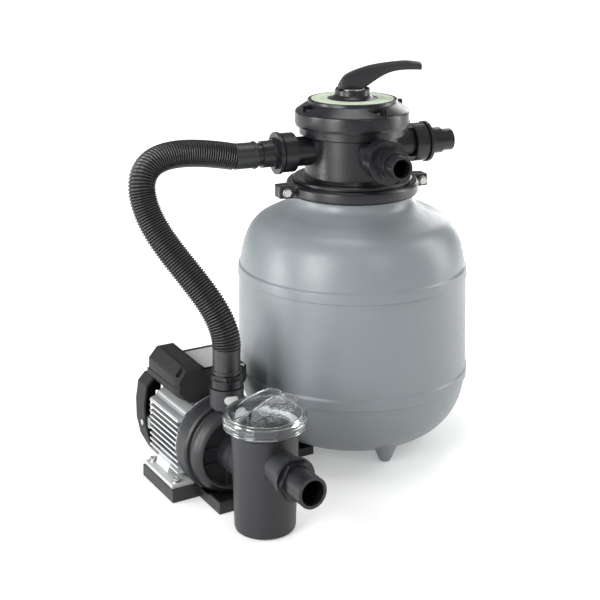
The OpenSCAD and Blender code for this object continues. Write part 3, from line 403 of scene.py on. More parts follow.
def position_ring():
    """Pale green ring printed with six plain sector marks and two fine circles."""
    # Radii and half widths in millimetres
    band_r, band_half, line_half = 49, 5.5, 0.35
    dash_r, dash_half = 46, 0.7
    circle_radii, circle_half = (55.5, 42.5), 0.28
    s = Shader("position_ring")
    centre = s.add("ShaderNodeVectorMath", {0: s.place, 1: (tank_x * MM, 0, 0)}, operation="SUBTRACT")
    axes = s.add("ShaderNodeSeparateXYZ", {0: centre.outputs[0]})
    x, y = axes.outputs[0], axes.outputs[1]
    radius = s.math("MULTIPLY", s.math("SQRT", s.math("ADD", s.math("MULTIPLY", x, x),
                                                      s.math("MULTIPLY", y, y))), 1 / MM)
    turn = s.math("FRACT", s.math("ADD", s.math("DIVIDE", s.math("ARCTAN2", y, x), TAU / 6), 6.3))
    from_line = s.math("MULTIPLY", s.math("ABSOLUTE", s.math("SUBTRACT", turn, 0.5)), radius)
    line = s.math("LESS_THAN", from_line, line_half)

    def near(at, half):
        return s.math("LESS_THAN", s.math("ABSOLUTE", s.math("SUBTRACT", radius, at)), half)

    in_band = near(band_r, band_half)
    dash = s.math("MULTIPLY", near(dash_r, dash_half),
                  s.math("GREATER_THAN", s.math("ABSOLUTE", s.math("SUBTRACT", turn, 0.5)), 0.28))
    circles = s.math("ADD", *[near(at, circle_half) for at in circle_radii])
    marks = s.math("ADD", s.math("MULTIPLY", line, in_band), dash)
    ink = s.math("MINIMUM", s.math("ADD", marks, circles), 0.6)
    paper = s.mix(s.noise(20, 4), (0.64, 0.75, 0.56), (0.72, 0.82, 0.64))
    s.give("Base Color", s.mix(ink, paper, (0.13, 0.20, 0.14)))
    s.give("Roughness", s.remap(s.noise(6, 4), 0.3, 0.7, 0.34, 0.5))
    s.give("Normal", s.bump(s.noise(0.8, 2), 0.05, 0.1))
    return s.material


def label():
    """White printed film with faint ruled lines and no lettering."""
    s = Shader("label_white")
    axes = s.add("ShaderNodeSeparateXYZ", {0: s.place})
    across = s.math("FRACT", s.math("MULTIPLY", axes.outputs[1], 1 / (5.5 * MM)))
    rule = s.math("MULTIPLY", s.math("LESS_THAN", across, 0.09), 0.45)
    paper = s.mix(s.noise(15, 4), (0.46, 0.47, 0.46), (0.54, 0.54, 0.52))
    s.give("Base Color", s.mix(rule, paper, (0.2, 0.2, 0.2)))
    s.give("Roughness", s.remap(s.noise(3, 4), 0.3, 0.7, 0.35, 0.5))
    s.give("Normal", s.bump(s.noise(2, 2), 0.06, 0.1))
    return s.material


def make_finishes():
    return {
        "tank_plastic": moulded("tank_plastic", (0.188, 0.210, 0.221), 0.36, 1.6, 0.06, wave=0.05, dust=0.0,
                                edge=0.06, specular=0.6, spread=0.025),
        "valve_plastic": moulded("valve_plastic", (0.0060, 0.0065, 0.0082), 0.31, 2.2, 0.02, wave=0.02,
                                 dust=0.01, edge=0.1),
        "hose_plastic": moulded("hose_plastic", (0.010, 0.0105, 0.0115), 0.36, 2.0, 0.03, dust=0.01,
                                edge=0.1, specular=0.6),
        "casing_plastic": moulded("casing_plastic", (0.0115, 0.0122, 0.0140), 0.42, 1.2, 0.12, dust=0.02,
                                  edge=0.12),
        "box_plastic": moulded("box_plastic", (0.024, 0.024, 0.024), 0.55, 1.0, 0.14, dust=0.0, edge=0.15,
                               specular=0.12),
        "motor_flange_paint": moulded("motor_flange_paint", (0.020, 0.020, 0.022), 0.40, 1.2, 0.3, dust=0.05),
        "cast_aluminium": cast_aluminium(),
        "black_steel": metal("black_steel", (0.06, 0.06, 0.065), 0.35, 0.6, 0.2, (1, 1, 1), 0.5),
        "stainless_steel": metal("stainless_steel", (0.50, 0.49, 0.47), 0.20, 0.5, 0.12),
        "rubber_seal": moulded("rubber_seal", (0.012, 0.012, 0.012), 0.62, 0.5, 0.3, dust=0.06, specular=0.3),
        "white_plastic": moulded("white_plastic", (0.72, 0.72, 0.68), 0.40, 0.7, 0.12, edge=0.0),
        "basket_plastic": moulded("basket_plastic", (0.50, 0.51, 0.51), 0.42, 0.7, 0.15, edge=0.0),
        "position_ring": position_ring(),
        "label_white": label(),
        "clear_plastic": clear_plastic(),
        "electrical_steel": metal("electrical_steel", (0.28, 0.28, 0.29), 0.38, 0.5, 0.3, (1, 6, 1)),
        "winding_copper": metal("winding_copper", (0.62, 0.28, 0.12), 0.33, 0.9, 0.6, (1, 5, 1)),
    }


finishes = make_finishes()


def settle(piece, body, slot, *nodes):
    """Gives a new piece its finish, the body it rides on and the CAD nodes it stands for."""
    piece.data.materials.clear()
    piece.data.materials.append(finishes[slot])
    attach(piece, body)
    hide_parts(*nodes)
    return piece


def soften(obj, width, segments=2):
    """Rounds a CAD node's edges with modifiers; its mesh stays as packed."""
    weld = obj.modifiers.new("weld", "WELD")
    weld.merge_threshold = 2e-6
    planar = obj.modifiers.new("planar", "DECIMATE")
    planar.decimate_type = "DISSOLVE"
    planar.angle_limit = math.radians(0.5)
    bevel = obj.modifiers.new("bevel", "BEVEL")
    bevel.width = width * MM
    bevel.segments = segments
    bevel.limit_method = "ANGLE"
    bevel.angle_limit = math.radians(32)
    normals = obj.modifiers.new("normals", "WEIGHTED_NORMAL")
    normals.mode = "FACE_AREA"
    normals.weight = 60


# ---------- Tank ----------

TANK_WALL_R = 165.0
TANK_WALL = 5.0
NECK_R = 87.0
NECK_TOP_Z = 362.6
UNDER_FLANGE_Z = 354.6
HOOP_RIBS = (100.0, 246.0)
FOOT_PCR = 112.0
DRAIN_Z = 62.0


def tank_profile(inset):
    """The tank's half outline, a distance inside its outer skin: superellipse domes and two hoop ribs."""
    top_z, top_h, low_z, low_h = 213.7, 113.5, 118.3, 117.1
    low_reach, low_round, low_fall = 0.955, 2.52, 3.24
    top_reach, top_round, top_fall = 0.93, 2.32, 8.42
    radius = TANK_WALL_R - inset
    points = []
    steps = 30
    for i in range(steps, -1, -1):
        t = low_reach * math.sin(math.pi / 2 * i / steps)
        points.append((radius * (1 - t ** low_round) ** (1 / low_fall), low_z - (low_h - inset) * t))
    wall_steps = 28
    points += [(radius, low_z + (top_z - low_z) * i / wall_steps) for i in range(1, wall_steps)]
    for i in range(steps + 1):
        t = top_reach * math.sin(math.pi / 2 * i / steps)
        points.append((radius * (1 - t ** top_round) ** (1 / top_fall), top_z + (top_h - inset) * t))
    if inset == 0:
        points = add_hoops(points)
    shoulder_r, shoulder_z = points[-1]
    neck = NECK_R - inset
    gap = shoulder_r - neck
    fillet = smooth_line([(shoulder_r, shoulder_z), (neck + 0.66 * gap, shoulder_z + 7.5),
                          (neck + 0.32 * gap, shoulder_z + 14), (neck + 0.09 * gap, shoulder_z + 21),
                          (neck, shoulder_z + 29), (neck, UNDER_FLANGE_Z)], 5)
    return [(0, points[0][1])] + points + [(p.x, p.y) for p in fillet[1:]]


def add_hoops(points):
    """The wall's outline with closer points where the ribs stand."""
    close_by, fine_step = 14, 0.7
    result = []
    for (r0, z0), (r1, z1) in zip(points, points[1:]):
        near = any(min(abs(z0 - rib), abs(z1 - rib)) < close_by for rib in HOOP_RIBS)
        count = max(1, math.ceil((z1 - z0) / fine_step)) if near else 1
        for k in range(count):
            z = z0 + (z1 - z0) * k / count
            result.append((r0 + (r1 - r0) * k / count + hoop(z), z))
    return result + [points[-1]]


def hoop(z):
    """How far the two hoop ribs stand out at a height: soft above, crisp below."""
    out, upper_edge, upper_fade, lower_edge, lower_fade = 2.1, 9.0, 4.0, 8.2, 1.2
    proud = 0.0
    for rib_z in HOOP_RIBS:
        above = min(1.0, max(0.0, (rib_z + upper_edge - z) / upper_fade))
        below = min(1.0, max(0.0, (z - rib_z + lower_edge) / lower_fade))
        proud += out * min(above * above * (3 - 2 * above), below)
    return proud


def build_tank():
    """Tank shell with its neck flange, four feet and drain boss, hollowed to the wall's thickness."""
    neck_flange = [(84, 354.8), (84, 357.2), (88.9, 357.4), (89.5, 358), (89.5, 362),
                   (88.9, NECK_TOP_Z), (0, NECK_TOP_Z)]
    shell = lathe("tank_shell_moulded", tank_profile(0) + neck_flange, tank_place, 160)
    feet = []
    for angle in (0, 90, 180, 270):
        cone = rounded([(0, 0, 0), (7.5, 0, 1.5), (9.5, 4, 2), (22, 34, 20), (34, 52, 0), (0, 52, 0)], 2)
        feet.append(lathe("foot", cone, tank_place @ turned(angle, "Z") @ moved(FOOT_PCR), 48))
    boss = rounded([(0, -16, 0), (17, -16, 0), (17, 4, 1.2), (0, 4, 0)], 1)
    drain_place = tank_place @ moved(0, TANK_WALL_R, DRAIN_Z) @ turned(-90, "X")
    combine(shell, feet + [lathe("boss", boss, drain_place, 48)], "UNION")
    inner = lathe("hollow", tank_profile(TANK_WALL) + [(0, UNDER_FLANGE_Z)], tank_place, 128)
    mouth = rod("mouth", 76, 40, tank_place @ moved(z=340), 96)
    drain = rod("drain", 10.05, 60, tank_place @ moved(0, 130, DRAIN_Z) @ turned(-90, "X"))
    combine(shell, [inner, mouth, drain], "DIFFERENCE")
    smooth(shell, 35)
    settle(shell, "root", "tank_plastic", "tank_shell")


build_tank()


# ---------- Valve ----------

def build_cover():
    """Cover: sloped shoulder, raised rim round the position ring, flared hub and four screw pockets."""
    stem_hole, rim_r, hub_r = 9.05, 83.4, 25.6
    underside, hub_top = 88.05, 139
    outline = rounded([(stem_hole, 118.5, 0), (31, 118.5, 1), (63.4, 109, 2), (63.4, underside, 0),
                       (82.4, underside, 0.8), (rim_r, 92, 2), (rim_r, 109.6, 5), (67.2, 120.6, 1.6),
                       (65.2, 121.8, 1), (65, 126.6, 1.4), (60.2, 126.6, 0.5), (60.2, 124.9, 0.3),
                       (36.4, 124.9, 0.3), (36.4, 126, 0.4), (29.5, 128.4, 4), (hub_r, 132.6, 3),
                       (hub_r, hub_top, 1.2), (stem_hole, hub_top, 0.4)], 1, 5)
    cover = lathe("valve_cover_moulded", outline, valve_place, 144)
    cuts = []
    ribs = []
    for angle, side in ((6, 1), (96, -1), (186, 1), (276, -1)):
        spot = valve_place @ turned(angle, "Z")
        # A wedge that runs out to a point along the shoulder
        opening = [(66.9, -9 * side), (79.5, -9 * side), (80.5, -3 * side), (69, 15 * side),
                   (66.9, 15 * side)]
        cuts.append(prism("pocket", rounded(opening, 0.8, 3), 30, spot @ moved(z=112.4)))
        cuts.append(rod("screw_hole", 2.2, 40, spot @ moved(71.5, 0, 80), 24))
        for across in (-4.6, -8.4):
            ribs.append(block("rib", (12.5, 1.7, 9.6), spot @ moved(73.2, across * side, 111), 0.4))
    teeth = [(22.4, 137), (hub_r, 137), (hub_r, 140.4), (24.9, 141.3), (23.2, 141.3), (22.4, 140.4)]
    collar = lathe("teeth", teeth, valve_place, 96)
    gaps = []
    for step in range(3):
        turn = step * 60 + HANDLE_TURN - TANK_TURN
        gaps.append(block("gap", (80, 15, 20), valve_place @ turned(turn, "Z") @ moved(z=hub_top + 0.05)))
    combine(collar, gaps, "DIFFERENCE")
    combine(cover, cuts, "DIFFERENCE")
    combine(cover, ribs + [collar], "UNION")
    smooth(cover, 30)
    settle(cover, "root", "valve_plastic", "valve_cover")


build_cover()


def handle_ring(x, floor, top, half, crown, soft):
    """A section of the handle across its length: flat sides, sharp crests and a crowned top."""
    corners = [(-half * 0.93, floor, soft), (half * 0.93, floor, soft), (half, top - crown, soft * 0.5),
               (half * 0.55, top - crown * 0.25, half * 0.8), (-half * 0.55, top - crown * 0.25, half * 0.8),
               (-half, top - crown, soft * 0.5)]
    return [(x, y, z) for y, z in rounded(corners, soft, 5)]


def build_handle():
    """Lever: a broad base over the hub that sweeps up into a crested grip with a squared tip."""
    base = 139.9
    pin_z = 146.6
    # Distance out, underside, top, half width, crown height, corner radius
    stations = [
        (-21.4, 0.4, 5.6, 10.5, 1.5, 0.8),
        (-19.6, 0.3, 9.0, 13.0, 2.0, 1.0),
        (-16.4, 0.3, 14.6, 15.2, 2.6, 1.2),
        (-12.6, 0.3, 19.4, 16.0, 3.0, 1.4),
        (-6, 0.3, 23.8, 16.0, 3.2, 1.6),
        (2, 0.3, 27.6, 15.2, 3.4, 1.8),
        (10, 0.9, 30.8, 14.0, 3.6, 1.8),
        (17, 3.2, 33.2, 13.2, 3.6, 1.8),
        (24, 7.6, 35.2, 12.6, 3.5, 1.8),
        (35, 15.4, 37.6, 11.8, 3.3, 1.6),
        (47, 22.6, 39.6, 11.4, 3.1, 1.6),
        (59, 27.2, 41.0, 11.2, 2.9, 1.5),
        (72, 29.4, 42.2, 11.4, 2.6, 1.4),
        (82, 30.0, 42.0, 11.7, 2.4, 1.3),
        (92, 30.2, 40.8, 11.9, 2.2, 1.2),
        (97.6, 30.1, 39.9, 11.9, 2.0, 1.1),
        (99.4, 30.9, 38.9, 11.2, 1.8, 0.8),
    ]
    first = smooth_line(stations_xyz(stations, (0, 1, 2)), 4)
    second = smooth_line(stations_xyz(stations, (3, 4, 5)), 4)
    rings = [handle_ring(a.x, base + a.y, base + a.z, b.x, b.y, b.z) for a, b in zip(first, second)]
    lever = loft("handle_grip", rings, handle_place)
    slot = block("slot", (19.6, 14.6, 15), handle_place @ moved(0.6, 0, base - 1))
    # The pivot pin's hole is blind on the front side
    pin = rod("pin_hole", 2.55, 43.2, handle_place @ moved(0, 30, pin_z) @ turned(90, "X"), 32)
    seam = []
    for y in (-12.4, 12.4):
        seam.append(block("seam", (0.8, 2.2, 16), handle_place @ moved(74, y, base + 26)))
    combine(lever, [slot, pin] + seam, "DIFFERENCE")
    smooth(lever, 34)
    settle(lever, "handle", "valve_plastic", "handle")


def stations_xyz(stations, places):
    return [tuple(s[k] for k in places) for s in stations]


build_handle()


# ---------- Hose ----------

def bezier(p, t):
    return (1 - t) ** 3 * p[0] + 3 * (1 - t) ** 2 * t * p[1] + 3 * (1 - t) * t * t * p[2] + t ** 3 * p[3]


def hose_line():
    """Points along the hose's centre line, the curve that the CAD hose follows."""
    turn = math.radians(180 + TANK_TURN)
    port = Vector((math.cos(turn), math.sin(turn), 0))
    start = Vector((tank_x, 0, valve_z + PORT_Z)) + port * 182
    top = Vector((-75, 10.6, 391.4))
    slope = Vector((0, -0.223, -1.023)).normalized()
    end = Vector((discharge.x, discharge.y, low("hose").z))
    arcs = [(start, start + 76 * (port + Vector((0, 0, 0.215))), top - 52.4 * slope, top),
            (top, top + 73.9 * slope, end + Vector((0, 0, 68.4)), end)]
    line = [start]
    for arc in arcs:
        line += [bezier(arc, k / 400) for k in range(1, 401)]
    return line, port


def build_hose():
    """Corrugated hose: rounded ridges at an even pitch, with a plain bore."""
    pitch, per_ridge, sides = 3.7, 8, 44
    crest, root, bore = 19.0, 16.6, 15.2
    line, port = hose_line()
    lengths = [0.0]
    for a, b in zip(line, line[1:]):
        lengths.append(lengths[-1] + (b - a).length)
    ridges = round(lengths[-1] / pitch)
    count = ridges * per_ridge
    side = port.cross(Vector((0, 0, 1))).normalized()
    outer, inner = [], []
    at = 0
    for i in range(count + 1):
        wanted = lengths[-1] * i / count
        while at < len(line) - 2 and lengths[at + 1] < wanted:
            at += 1
        share = (wanted - lengths[at]) / (lengths[at + 1] - lengths[at])
        point = line[at].lerp(line[at + 1], share)
        ahead = port if i == 0 else (line[at + 1] - line[at]).normalized()
        side = (side - ahead * side.dot(ahead)).normalized()
        up = ahead.cross(side)
        wave = 0.5 - 0.5 * math.cos(TAU * i / per_ridge)
        radius = root + (crest - root) * wave ** 0.6
        outer.append([point + (side * math.cos(TAU * k / sides) + up * math.sin(TAU * k / sides)) * radius
                      for k in range(sides)])
        if i % per_ridge == 0:
            inner.append([point + (side * math.cos(TAU * k / sides) + up * math.sin(TAU * k / sides)) * bore
                          for k in range(sides)])
    hose = loft("hose_corrugated", outer + inner[::-1], None, True)
    smooth(hose, 60)
    settle(hose, "root", "hose_plastic", "hose")


build_hose()


# ---------- Strainer ----------

def build_lid():
    """Clear screw lid: banded skirt, flat top and two arched grips."""
    z0, z1 = 130.0, 147.0
    skirt_in, land_z = 48.45, 141.05
    band, groove = 53.2, 52.0
    outline = rounded([(skirt_in, z0, 0.3), (52.4, z0, 0.8), (52.4, z0 + 1.2, 0.4), (band, z0 + 1.8, 0.5),
                       (band, z0 + 3.2, 0.5), (groove, z0 + 4, 0.5), (groove, z0 + 6.2, 0.5),
                       (band, z0 + 7, 0.5), (band, z0 + 8.6, 0.5), (groove, z0 + 9.4, 0.5),
                       (groove, z0 + 11.4, 0.5), (53.0, z0 + 12.2, 0.5), (53.0, z0 + 13.6, 0.6),
                       (50.4, z1 - 0.4, 1.2), (46, z1, 1), (0, z1, 0), (0, z1 - 3.5, 0),
                       (46.8, z1 - 3.5, 1), (46.8, land_z, 0.4), (skirt_in, land_z, 0.2)], 0.5, 3)
    lid = lathe("strainer_lid_clear", outline, strainer_place, 96)
    grips = []
    reach, rise, thick = 45, 14, 3.6
    spring_z = z1 + 6
    for y in (-12, 12):
        arch = [(-reach, z1 - 1.5), (reach, z1 - 1.5), (reach, spring_z)]
        for a in range(8, 173, 8):
            angle = math.radians(a)
            arch.append((reach * math.cos(angle), spring_z + rise * math.sin(angle)))
        arch += [(-reach, spring_z)]
        spot = strainer_place @ turned(20, "Z") @ moved(0, y + thick / 2) @ turned(90, "X")
        grips.append(prism("grip", arch, thick, spot, 0.7))
    combine(lid, grips, "UNION")
    smooth(lid, 30)
    settle(lid, "lid", "clear_plastic", "strainer_lid")


build_lid()


def build_basket():
    """Strainer basket: an open lattice of fine bars under a plain rim."""
    columns, rows = 44, 20
    floor_z, rim_z = 30.0, 128.0
    bm = bmesh.new()
    rings = []
    for r in (0.0, 8.0, 16.0, 24.0):
        rings.append([bm.verts.new((0, 0, floor_z))] if r == 0 else circle(bm, r, floor_z, columns))
    for k in range(rows + 1):
        t = k / rows
        rings.append(circle(bm, 31.5 + 3 * t, floor_z + (rim_z - floor_z) * t, columns))
    for a, b in zip(rings, rings[1:]):
        bridge(bm, a, b)
    basket = make("strainer_basket_mesh", bm, strainer_place)
    wires = basket.modifiers.new("bars", "WIREFRAME")
    wires.thickness = 1.3 * MM
    wires.use_boundary = True
    wires.use_even_offset = False
    apply_modifiers(basket)
    rim = rounded([(33.8, 127), (35.4, 126.6), (36, 128.1), (42.6, 128.1), (42.6, 131), (34, 131)], 0.5, 3)
    rim = lathe("rim", rim, strainer_place, 96)
    joined = join_meshes("strainer_basket_lattice", [basket, rim])
    smooth(joined, 40)
    settle(joined, "basket", "basket_plastic", "strainer_basket")


def circle(bm, radius, z, sides):
    return [bm.verts.new((radius * math.cos(TAU * k / sides), radius * math.sin(TAU * k / sides), z))
            for k in range(sides)]


def join_meshes(name, objects):
    """One object from several, kept as separate closed shells."""
    bm = bmesh.new()
    for obj in objects:
        bm.from_mesh(obj.data)
        bpy.data.objects.remove(obj)
    mesh = bpy.data.meshes.new(name)
    bm.to_mesh(mesh)
    bm.free()
    obj = bpy.data.objects.new(name, mesh)
    bpy.context.scene.collection.objects.link(obj)
    return obj


build_basket()


# ---------- Terminal box ----------

BOX_SPLIT = 72.4


def cable_way():
    """The round hole for the cable's grommet, half in the box and half in its lid."""
    return rod("cable_way", 5.7, 8, moved(20, 42, shaft_z + BOX_SPLIT) @ turned(-90, "X"), 32)


def box_section(top, flat, shrink):
    """Cross-section of the box lid: a raised bulge over the capacitor and a lower flat."""
    bottom = 72.5
    left, right = -53.8 + shrink, 55 - shrink
    corners = [(left + 0.9, bottom, 0), (left + 0.9, bottom + 1.6, 0.2), (left, bottom + 2, 0.2),
               (left, top - 13.6 - shrink, 1.5), (-41.5 + shrink * 0.5, top - shrink, 1.5),
               (-17 - shrink * 0.3, top - shrink, 1.5), (-9.5, flat - shrink * 0.6, 1.5),
               (right - 4, flat - shrink * 0.6, 1.5), (right, flat - 4 - shrink * 0.6, 1.5),
               (right, bottom, 0)]
    return rounded(corners, 1, 4)


def build_box_lid():
    """The box's lid: a loft with drawn-in ends, screw pockets and the fine lines of its raised panel."""
    front, back = -45.0, 47.0
    # Place along Y, share of the way to the back, and how far the section draws in
    stations = [(front, 0.0, 5.4), (front + 1.0, 0.0, 4.4), (front + 6.0, 0.07, 0.5),
                (front + 7.6, 0.08, 0.0), (back - 6, 0.96, 0.0), (back - 4.6, 0.97, 0.4),
                (back - 0.8, 1.0, 3.0), (back, 1.0, 3.8)]
    rings = []
    for y, share, shrink in stations:
        section = box_section(98.6 + 3.6 * share, 86.6 + 1.8 * share, shrink)
        rings.append([(x, y, shaft_z + z) for x, z in section])
    lid = loft("terminal_box_lid_moulded", rings)
    hollow = [(-50.8, 70), (-50.8, 82), (-40.5, 93.5), (-19, 93.5), (-12, 83), (49, 83), (49, 70)]
    cuts = [prism("hollow", hollow, 76, shaft_place(-37) @ moved(z=-2))]
    for x, y in ((-46.5, -39.5), (-46.5, 41.5)):
        cuts.append(block("screw_pocket", (9.5, 4.4, 30), moved(x + 0.6, y, shaft_z + 86), 0.6))
    for y in (-39.5, 41.5):
        cuts.append(rod("screw_pocket", 3.7, 20, moved(48, y, shaft_z + 84), 32))
    # Fine lines of the raised panel and along the slope
    line = 0.9
    panel = moved(0, 0, shaft_z + 98.45) @ turned(2.4, "X")
    for x0, y0, x1, y1 in ((-38, -34, -38 + line, 40), (-21, -34, -21 + line, 40),
                           (-38, -34, -20, -34 + line)):
        cuts.append(prism("line", rectangle(x0, y0, x1, y1), 6, panel))
    cuts.append(cable_way())
    combine(lid, cuts, "DIFFERENCE")
    smooth(lid, 25)
    settle(lid, "root", "box_plastic", "terminal_box_lid")


build_box_lid()


def build_box():
    """The box under the lid: it flares up from the motor, with its front corners drawn in."""
    left, right, top = -53.8, 55, BOX_SPLIT - 0.05
    bottom = [(-33, 49.1, 0.6), (33, 49.1, 0.6), (50, 58, 2), (right, 64, 2), (right, top, 0),
              (left, top, 0), (left, 66, 2), (-47, 57, 2)]
    rings = []
    for y, shrink in ((-45, 5.4), (-44, 4.4), (-39, 0.5), (-37.4, 0), (34.4, 0)):
        ring = []
        for x, z, soft in bottom:
            ring.append((x - math.copysign(shrink, x), z, soft))
        rings.append([(x, y, shaft_z + z) for x, z in rounded(ring, 1, 4)])
    box = loft("terminal_box_moulded", rings)
    rear = [(-51, 62.2, 1), (52, 62.2, 1), (right, 65, 1), (right, top, 0), (left, top, 0), (left, 65, 1)]
    rear = prism("rear", rounded(rear, 1), 26, shaft_place(-47))
    combine(box, [rear], "UNION")
    hollow = [(-31, 52), (31, 52), (46, 60.5), (49, 66), (49, 90), (-49, 90), (-49, 68)]
    cuts = [prism("hollow", hollow, 66, shaft_place(-31.4) @ moved(z=3))]
    cuts.append(block("shallow", (98, 78, 30), moved(0, 5, shaft_z + 65.2)))
    cuts.append(cable_way())
    combine(box, cuts, "DIFFERENCE")
    smooth(box, 25)
    settle(box, "root", "box_plastic", "terminal_box")


build_box()


# ---------- Clamp ----------

def build_clamp(name, node, side):
    """Half a clamp ring: rounded section, and a lug at each end with a recess round its bolt."""
    split, bottom, height = 1.0, valve_z - 9.0, 17.8
    top = bottom + height
    lug_in, lug_out, bolt_x = 91.2, 117, 107
    section = rounded([(86.5, bottom), (93.6, bottom, 3), (95.8, bottom + 3, 3), (95.8, top - 3.4, 3),
                       (93.4, top, 3), (86.5, top), (86.5, valve_z + 5.9), (90, valve_z + 5.3),
                       (90, valve_z - 6.9), (86.5, valve_z - 7.4)], 0.7, 4)
    ring = lathe(name, section, tank_place, 128)
    lugs = []
    for x in (-1, 1):
        plan = rounded([(lug_in * x, 0.3 * side), (lug_out * x, 0.3 * side), (lug_out * x, 11 * side),
                        (97 * x, 12.5 * side), (lug_in * x, 20 * side)], 1.8, 3)
        lugs.append(prism("lug", plan, height, tank_place @ moved(z=bottom), 1.2))
    combine(ring, lugs, "UNION")
    cuts = [block("other_half", (300, 200, 40), tank_place @ moved(0, (split - 100) * side, bottom - 8))]
    for x in (-bolt_x, bolt_x):
        cuts.append(rod("bolt_hole", 3.3, 80, tank_place @ moved(x, 40, valve_z) @ turned(90, "X"), 32))
        seat = tank_place @ moved(x - math.copysign(0.8, x), 23 * side, valve_z - 7)
        cuts.append(block("recess", (14.5, 20, 14), seat, 0.8))
    combine(ring, cuts, "DIFFERENCE")
    smooth(ring, 30)
    settle(ring, "root", "valve_plastic", node)


build_clamp("clamp_front_moulded", "clamp_front", -1)
build_clamp("clamp_rear_moulded", "clamp_rear", 1)


# ---------- CAD nodes that keep their shape ----------

EDGE_WIDTHS = {
    "fan_cover": 2.2, "base_plate": 1.4,
    "motor_housing": 0.7, "pump_casing": 1.1, "strainer_pot": 1.0, "hose_cuff_upper": 1.0,
    "hose_cuff_lower": 1.0, "valve_body": 0.8, "valve_nozzles": 0.7, "suction_nozzle": 0.7,
    "discharge_nozzle": 0.8, "motor_flange": 0.9, "rating_plate": 0.1, "inspection_sticker": 0.05,
    "position_plate": 0.2, "handle_pin": 0.4, "lateral_hub": 0.8, "rotor_spring": 0.1,
}
USUAL_EDGE = 0.4


def finish_cad_nodes():
    slots = {part["node"]: part["material_slot"] for part in frame["record"]["subparts"]}
    for name, obj in frame["nodes"].items():
        if obj.hide_render:
            continue
        obj.data.materials.clear()
        obj.data.materials.append(finishes[slots[name]])
        soften(obj, EDGE_WIDTHS.get(name, USUAL_EDGE))


finish_cad_nodes()


# ---------- Studio ----------

def build_floor():
    """Pale floor that runs out into the white background; its near side stays dim in reflections."""
    floor_r, below_feet = 9000, 0.0005
    glow_from, glow_full = 0.35, 1.4
    bm = bmesh.new()
    bmesh.ops.create_circle(bm, cap_ends=True, segments=96, radius=floor_r)
    floor = make("floor", bm)
    floor.location.z = -below_feet
    s = Shader("floor")
    far = s.add("ShaderNodeVectorMath", {0: s.place}, operation="LENGTH").outputs["Value"]
    s.give("Base Color", s.mix(s.noise(300, 3), (0.80, 0.80, 0.80), (0.84, 0.84, 0.84)))
    s.give("Roughness", s.remap(s.noise(40, 3), 0.3, 0.7, 0.55, 0.7))
    s.give("Specular IOR Level", 0.15)
    s.give("Emission Color", (1, 1, 1, 1))
    glow = s.remap(far, glow_from, glow_full, 0.26, 1.0)
    towards_camera = (-0.44, -0.90, 0)
    nearness = s.add("ShaderNodeVectorMath", {0: s.place, 1: towards_camera}, operation="DOT_PRODUCT")
    dim = s.math("MULTIPLY", glow, s.remap(nearness.outputs["Value"], -0.3, 1.0, 1.0, 0.35))
    seen = s.add("ShaderNodeLightPath").outputs["Is Camera Ray"]
    s.give("Emission Strength", s.add("ShaderNodeMix", {0: seen, 2: dim, 3: glow}).outputs[0])
    floor.data.materials.append(s.material)


def add_light(name, place, target, size, power):
    data = bpy.data.lights.new(name, "AREA")
    data.shape = "RECTANGLE"
    data.size, data.size_y = size
    data.energy = power
    light = bpy.data.objects.new(name, data)
    light.location = place
    light.rotation_mode = "QUATERNION"
    light.rotation_quaternion = (Vector(target) - Vector(place)).to_track_quat("-Z", "Y")
    bpy.context.scene.collection.objects.link(light)


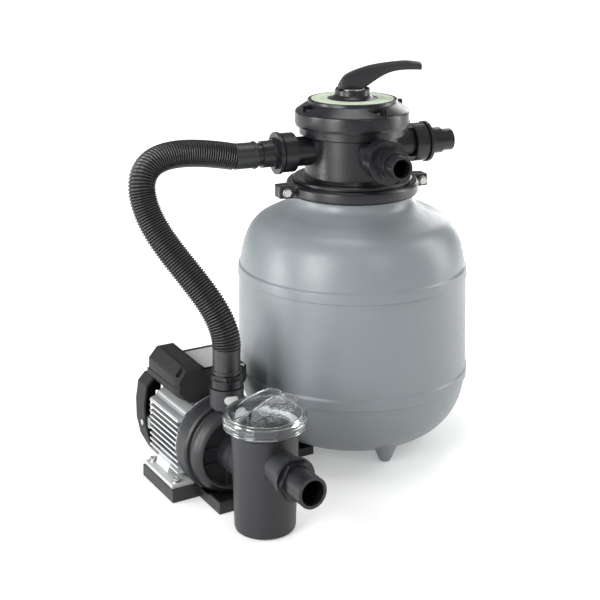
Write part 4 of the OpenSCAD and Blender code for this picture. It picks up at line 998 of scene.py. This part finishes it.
def build_studio():
    """A white room that is dimmer in reflections than to the camera, and six soft lamps."""
    world = bpy.data.worlds.new("studio")
    bpy.context.scene.world = world
    world.use_nodes = True
    nodes, links = world.node_tree.nodes, world.node_tree.links
    seen = nodes.new("ShaderNodeLightPath").outputs["Is Camera Ray"]
    strength = nodes.new("ShaderNodeMapRange")
    in_reflections, to_camera = 0.34, 1.0
    strength.inputs["To Min"].default_value = in_reflections
    strength.inputs["To Max"].default_value = to_camera
    links.new(seen, strength.inputs["Value"])
    background = nodes["Background"]
    background.inputs["Color"].default_value = (1.0, 1.0, 1.0, 1)
    links.new(strength.outputs[0], background.inputs["Strength"])
    heart = (0.12, 0, 0.28)
    add_light("key", (-1.8, -0.75, 0.9), heart, (0.9, 1.6), 42)
    add_light("left", (-1.4, 0.5, 0.55), heart, (0.5, 1.1), 18)
    add_light("front", (0.1, -2.3, 1.5), heart, (0.4, 1.3), 7)
    add_light("right", (1.9, -0.7, 0.9), heart, (0.6, 1.6), 20)
    add_light("rim", (1.6, 0.9, 0.8), heart, (0.5, 1.5), 10)
    add_light("top", (0.25, 0.05, 2.0), heart, (1.0, 0.9), 10)


def build_camera():
    """The photograph's viewing angle: nearly level, with the lens shifted down to the object.

    The shift belongs to this one station. It fades to nothing when the camera is put anywhere else.
    """
    azimuth, elevation = math.radians(-30.5856), math.radians(4)
    station = (-0.7509, -1.5453, 0.7908)
    shift, lens_mm, sensor_mm = -0.5341, 77.052, 36
    data = bpy.data.cameras.new("camera")
    data.lens = lens_mm
    data.sensor_width = sensor_mm
    camera = bpy.data.objects.new("camera", data)
    camera.location = station
    flat = math.cos(elevation)
    ahead = Vector((-math.sin(azimuth) * flat, math.cos(azimuth) * flat, -math.sin(elevation)))
    camera.rotation_mode = "QUATERNION"
    camera.rotation_quaternion = ahead.to_track_quat("-Z", "Y")
    bpy.context.scene.collection.objects.link(camera)
    bpy.context.scene.camera = camera
    marker = bpy.data.objects.new("camera_station", None)
    marker.location = station
    bpy.context.scene.collection.objects.link(marker)
    curve = data.driver_add("shift_y")
    curve.driver.type = "SUM"
    distance = curve.driver.variables.new()
    distance.type = "LOC_DIFF"
    distance.targets[0].id = camera
    distance.targets[1].id = marker
    while curve.modifiers:
        curve.modifiers.remove(curve.modifiers[0])
    held, faded = 0.005, 0.02
    for away, value in ((0.0, shift), (held, shift), (faded, 0.0), (1.0, 0.0)):
        curve.keyframe_points.insert(away, value).interpolation = "LINEAR"


build_floor()
build_studio()
build_camera()
bpy.context.scene.view_settings.view_transform = "Standard"
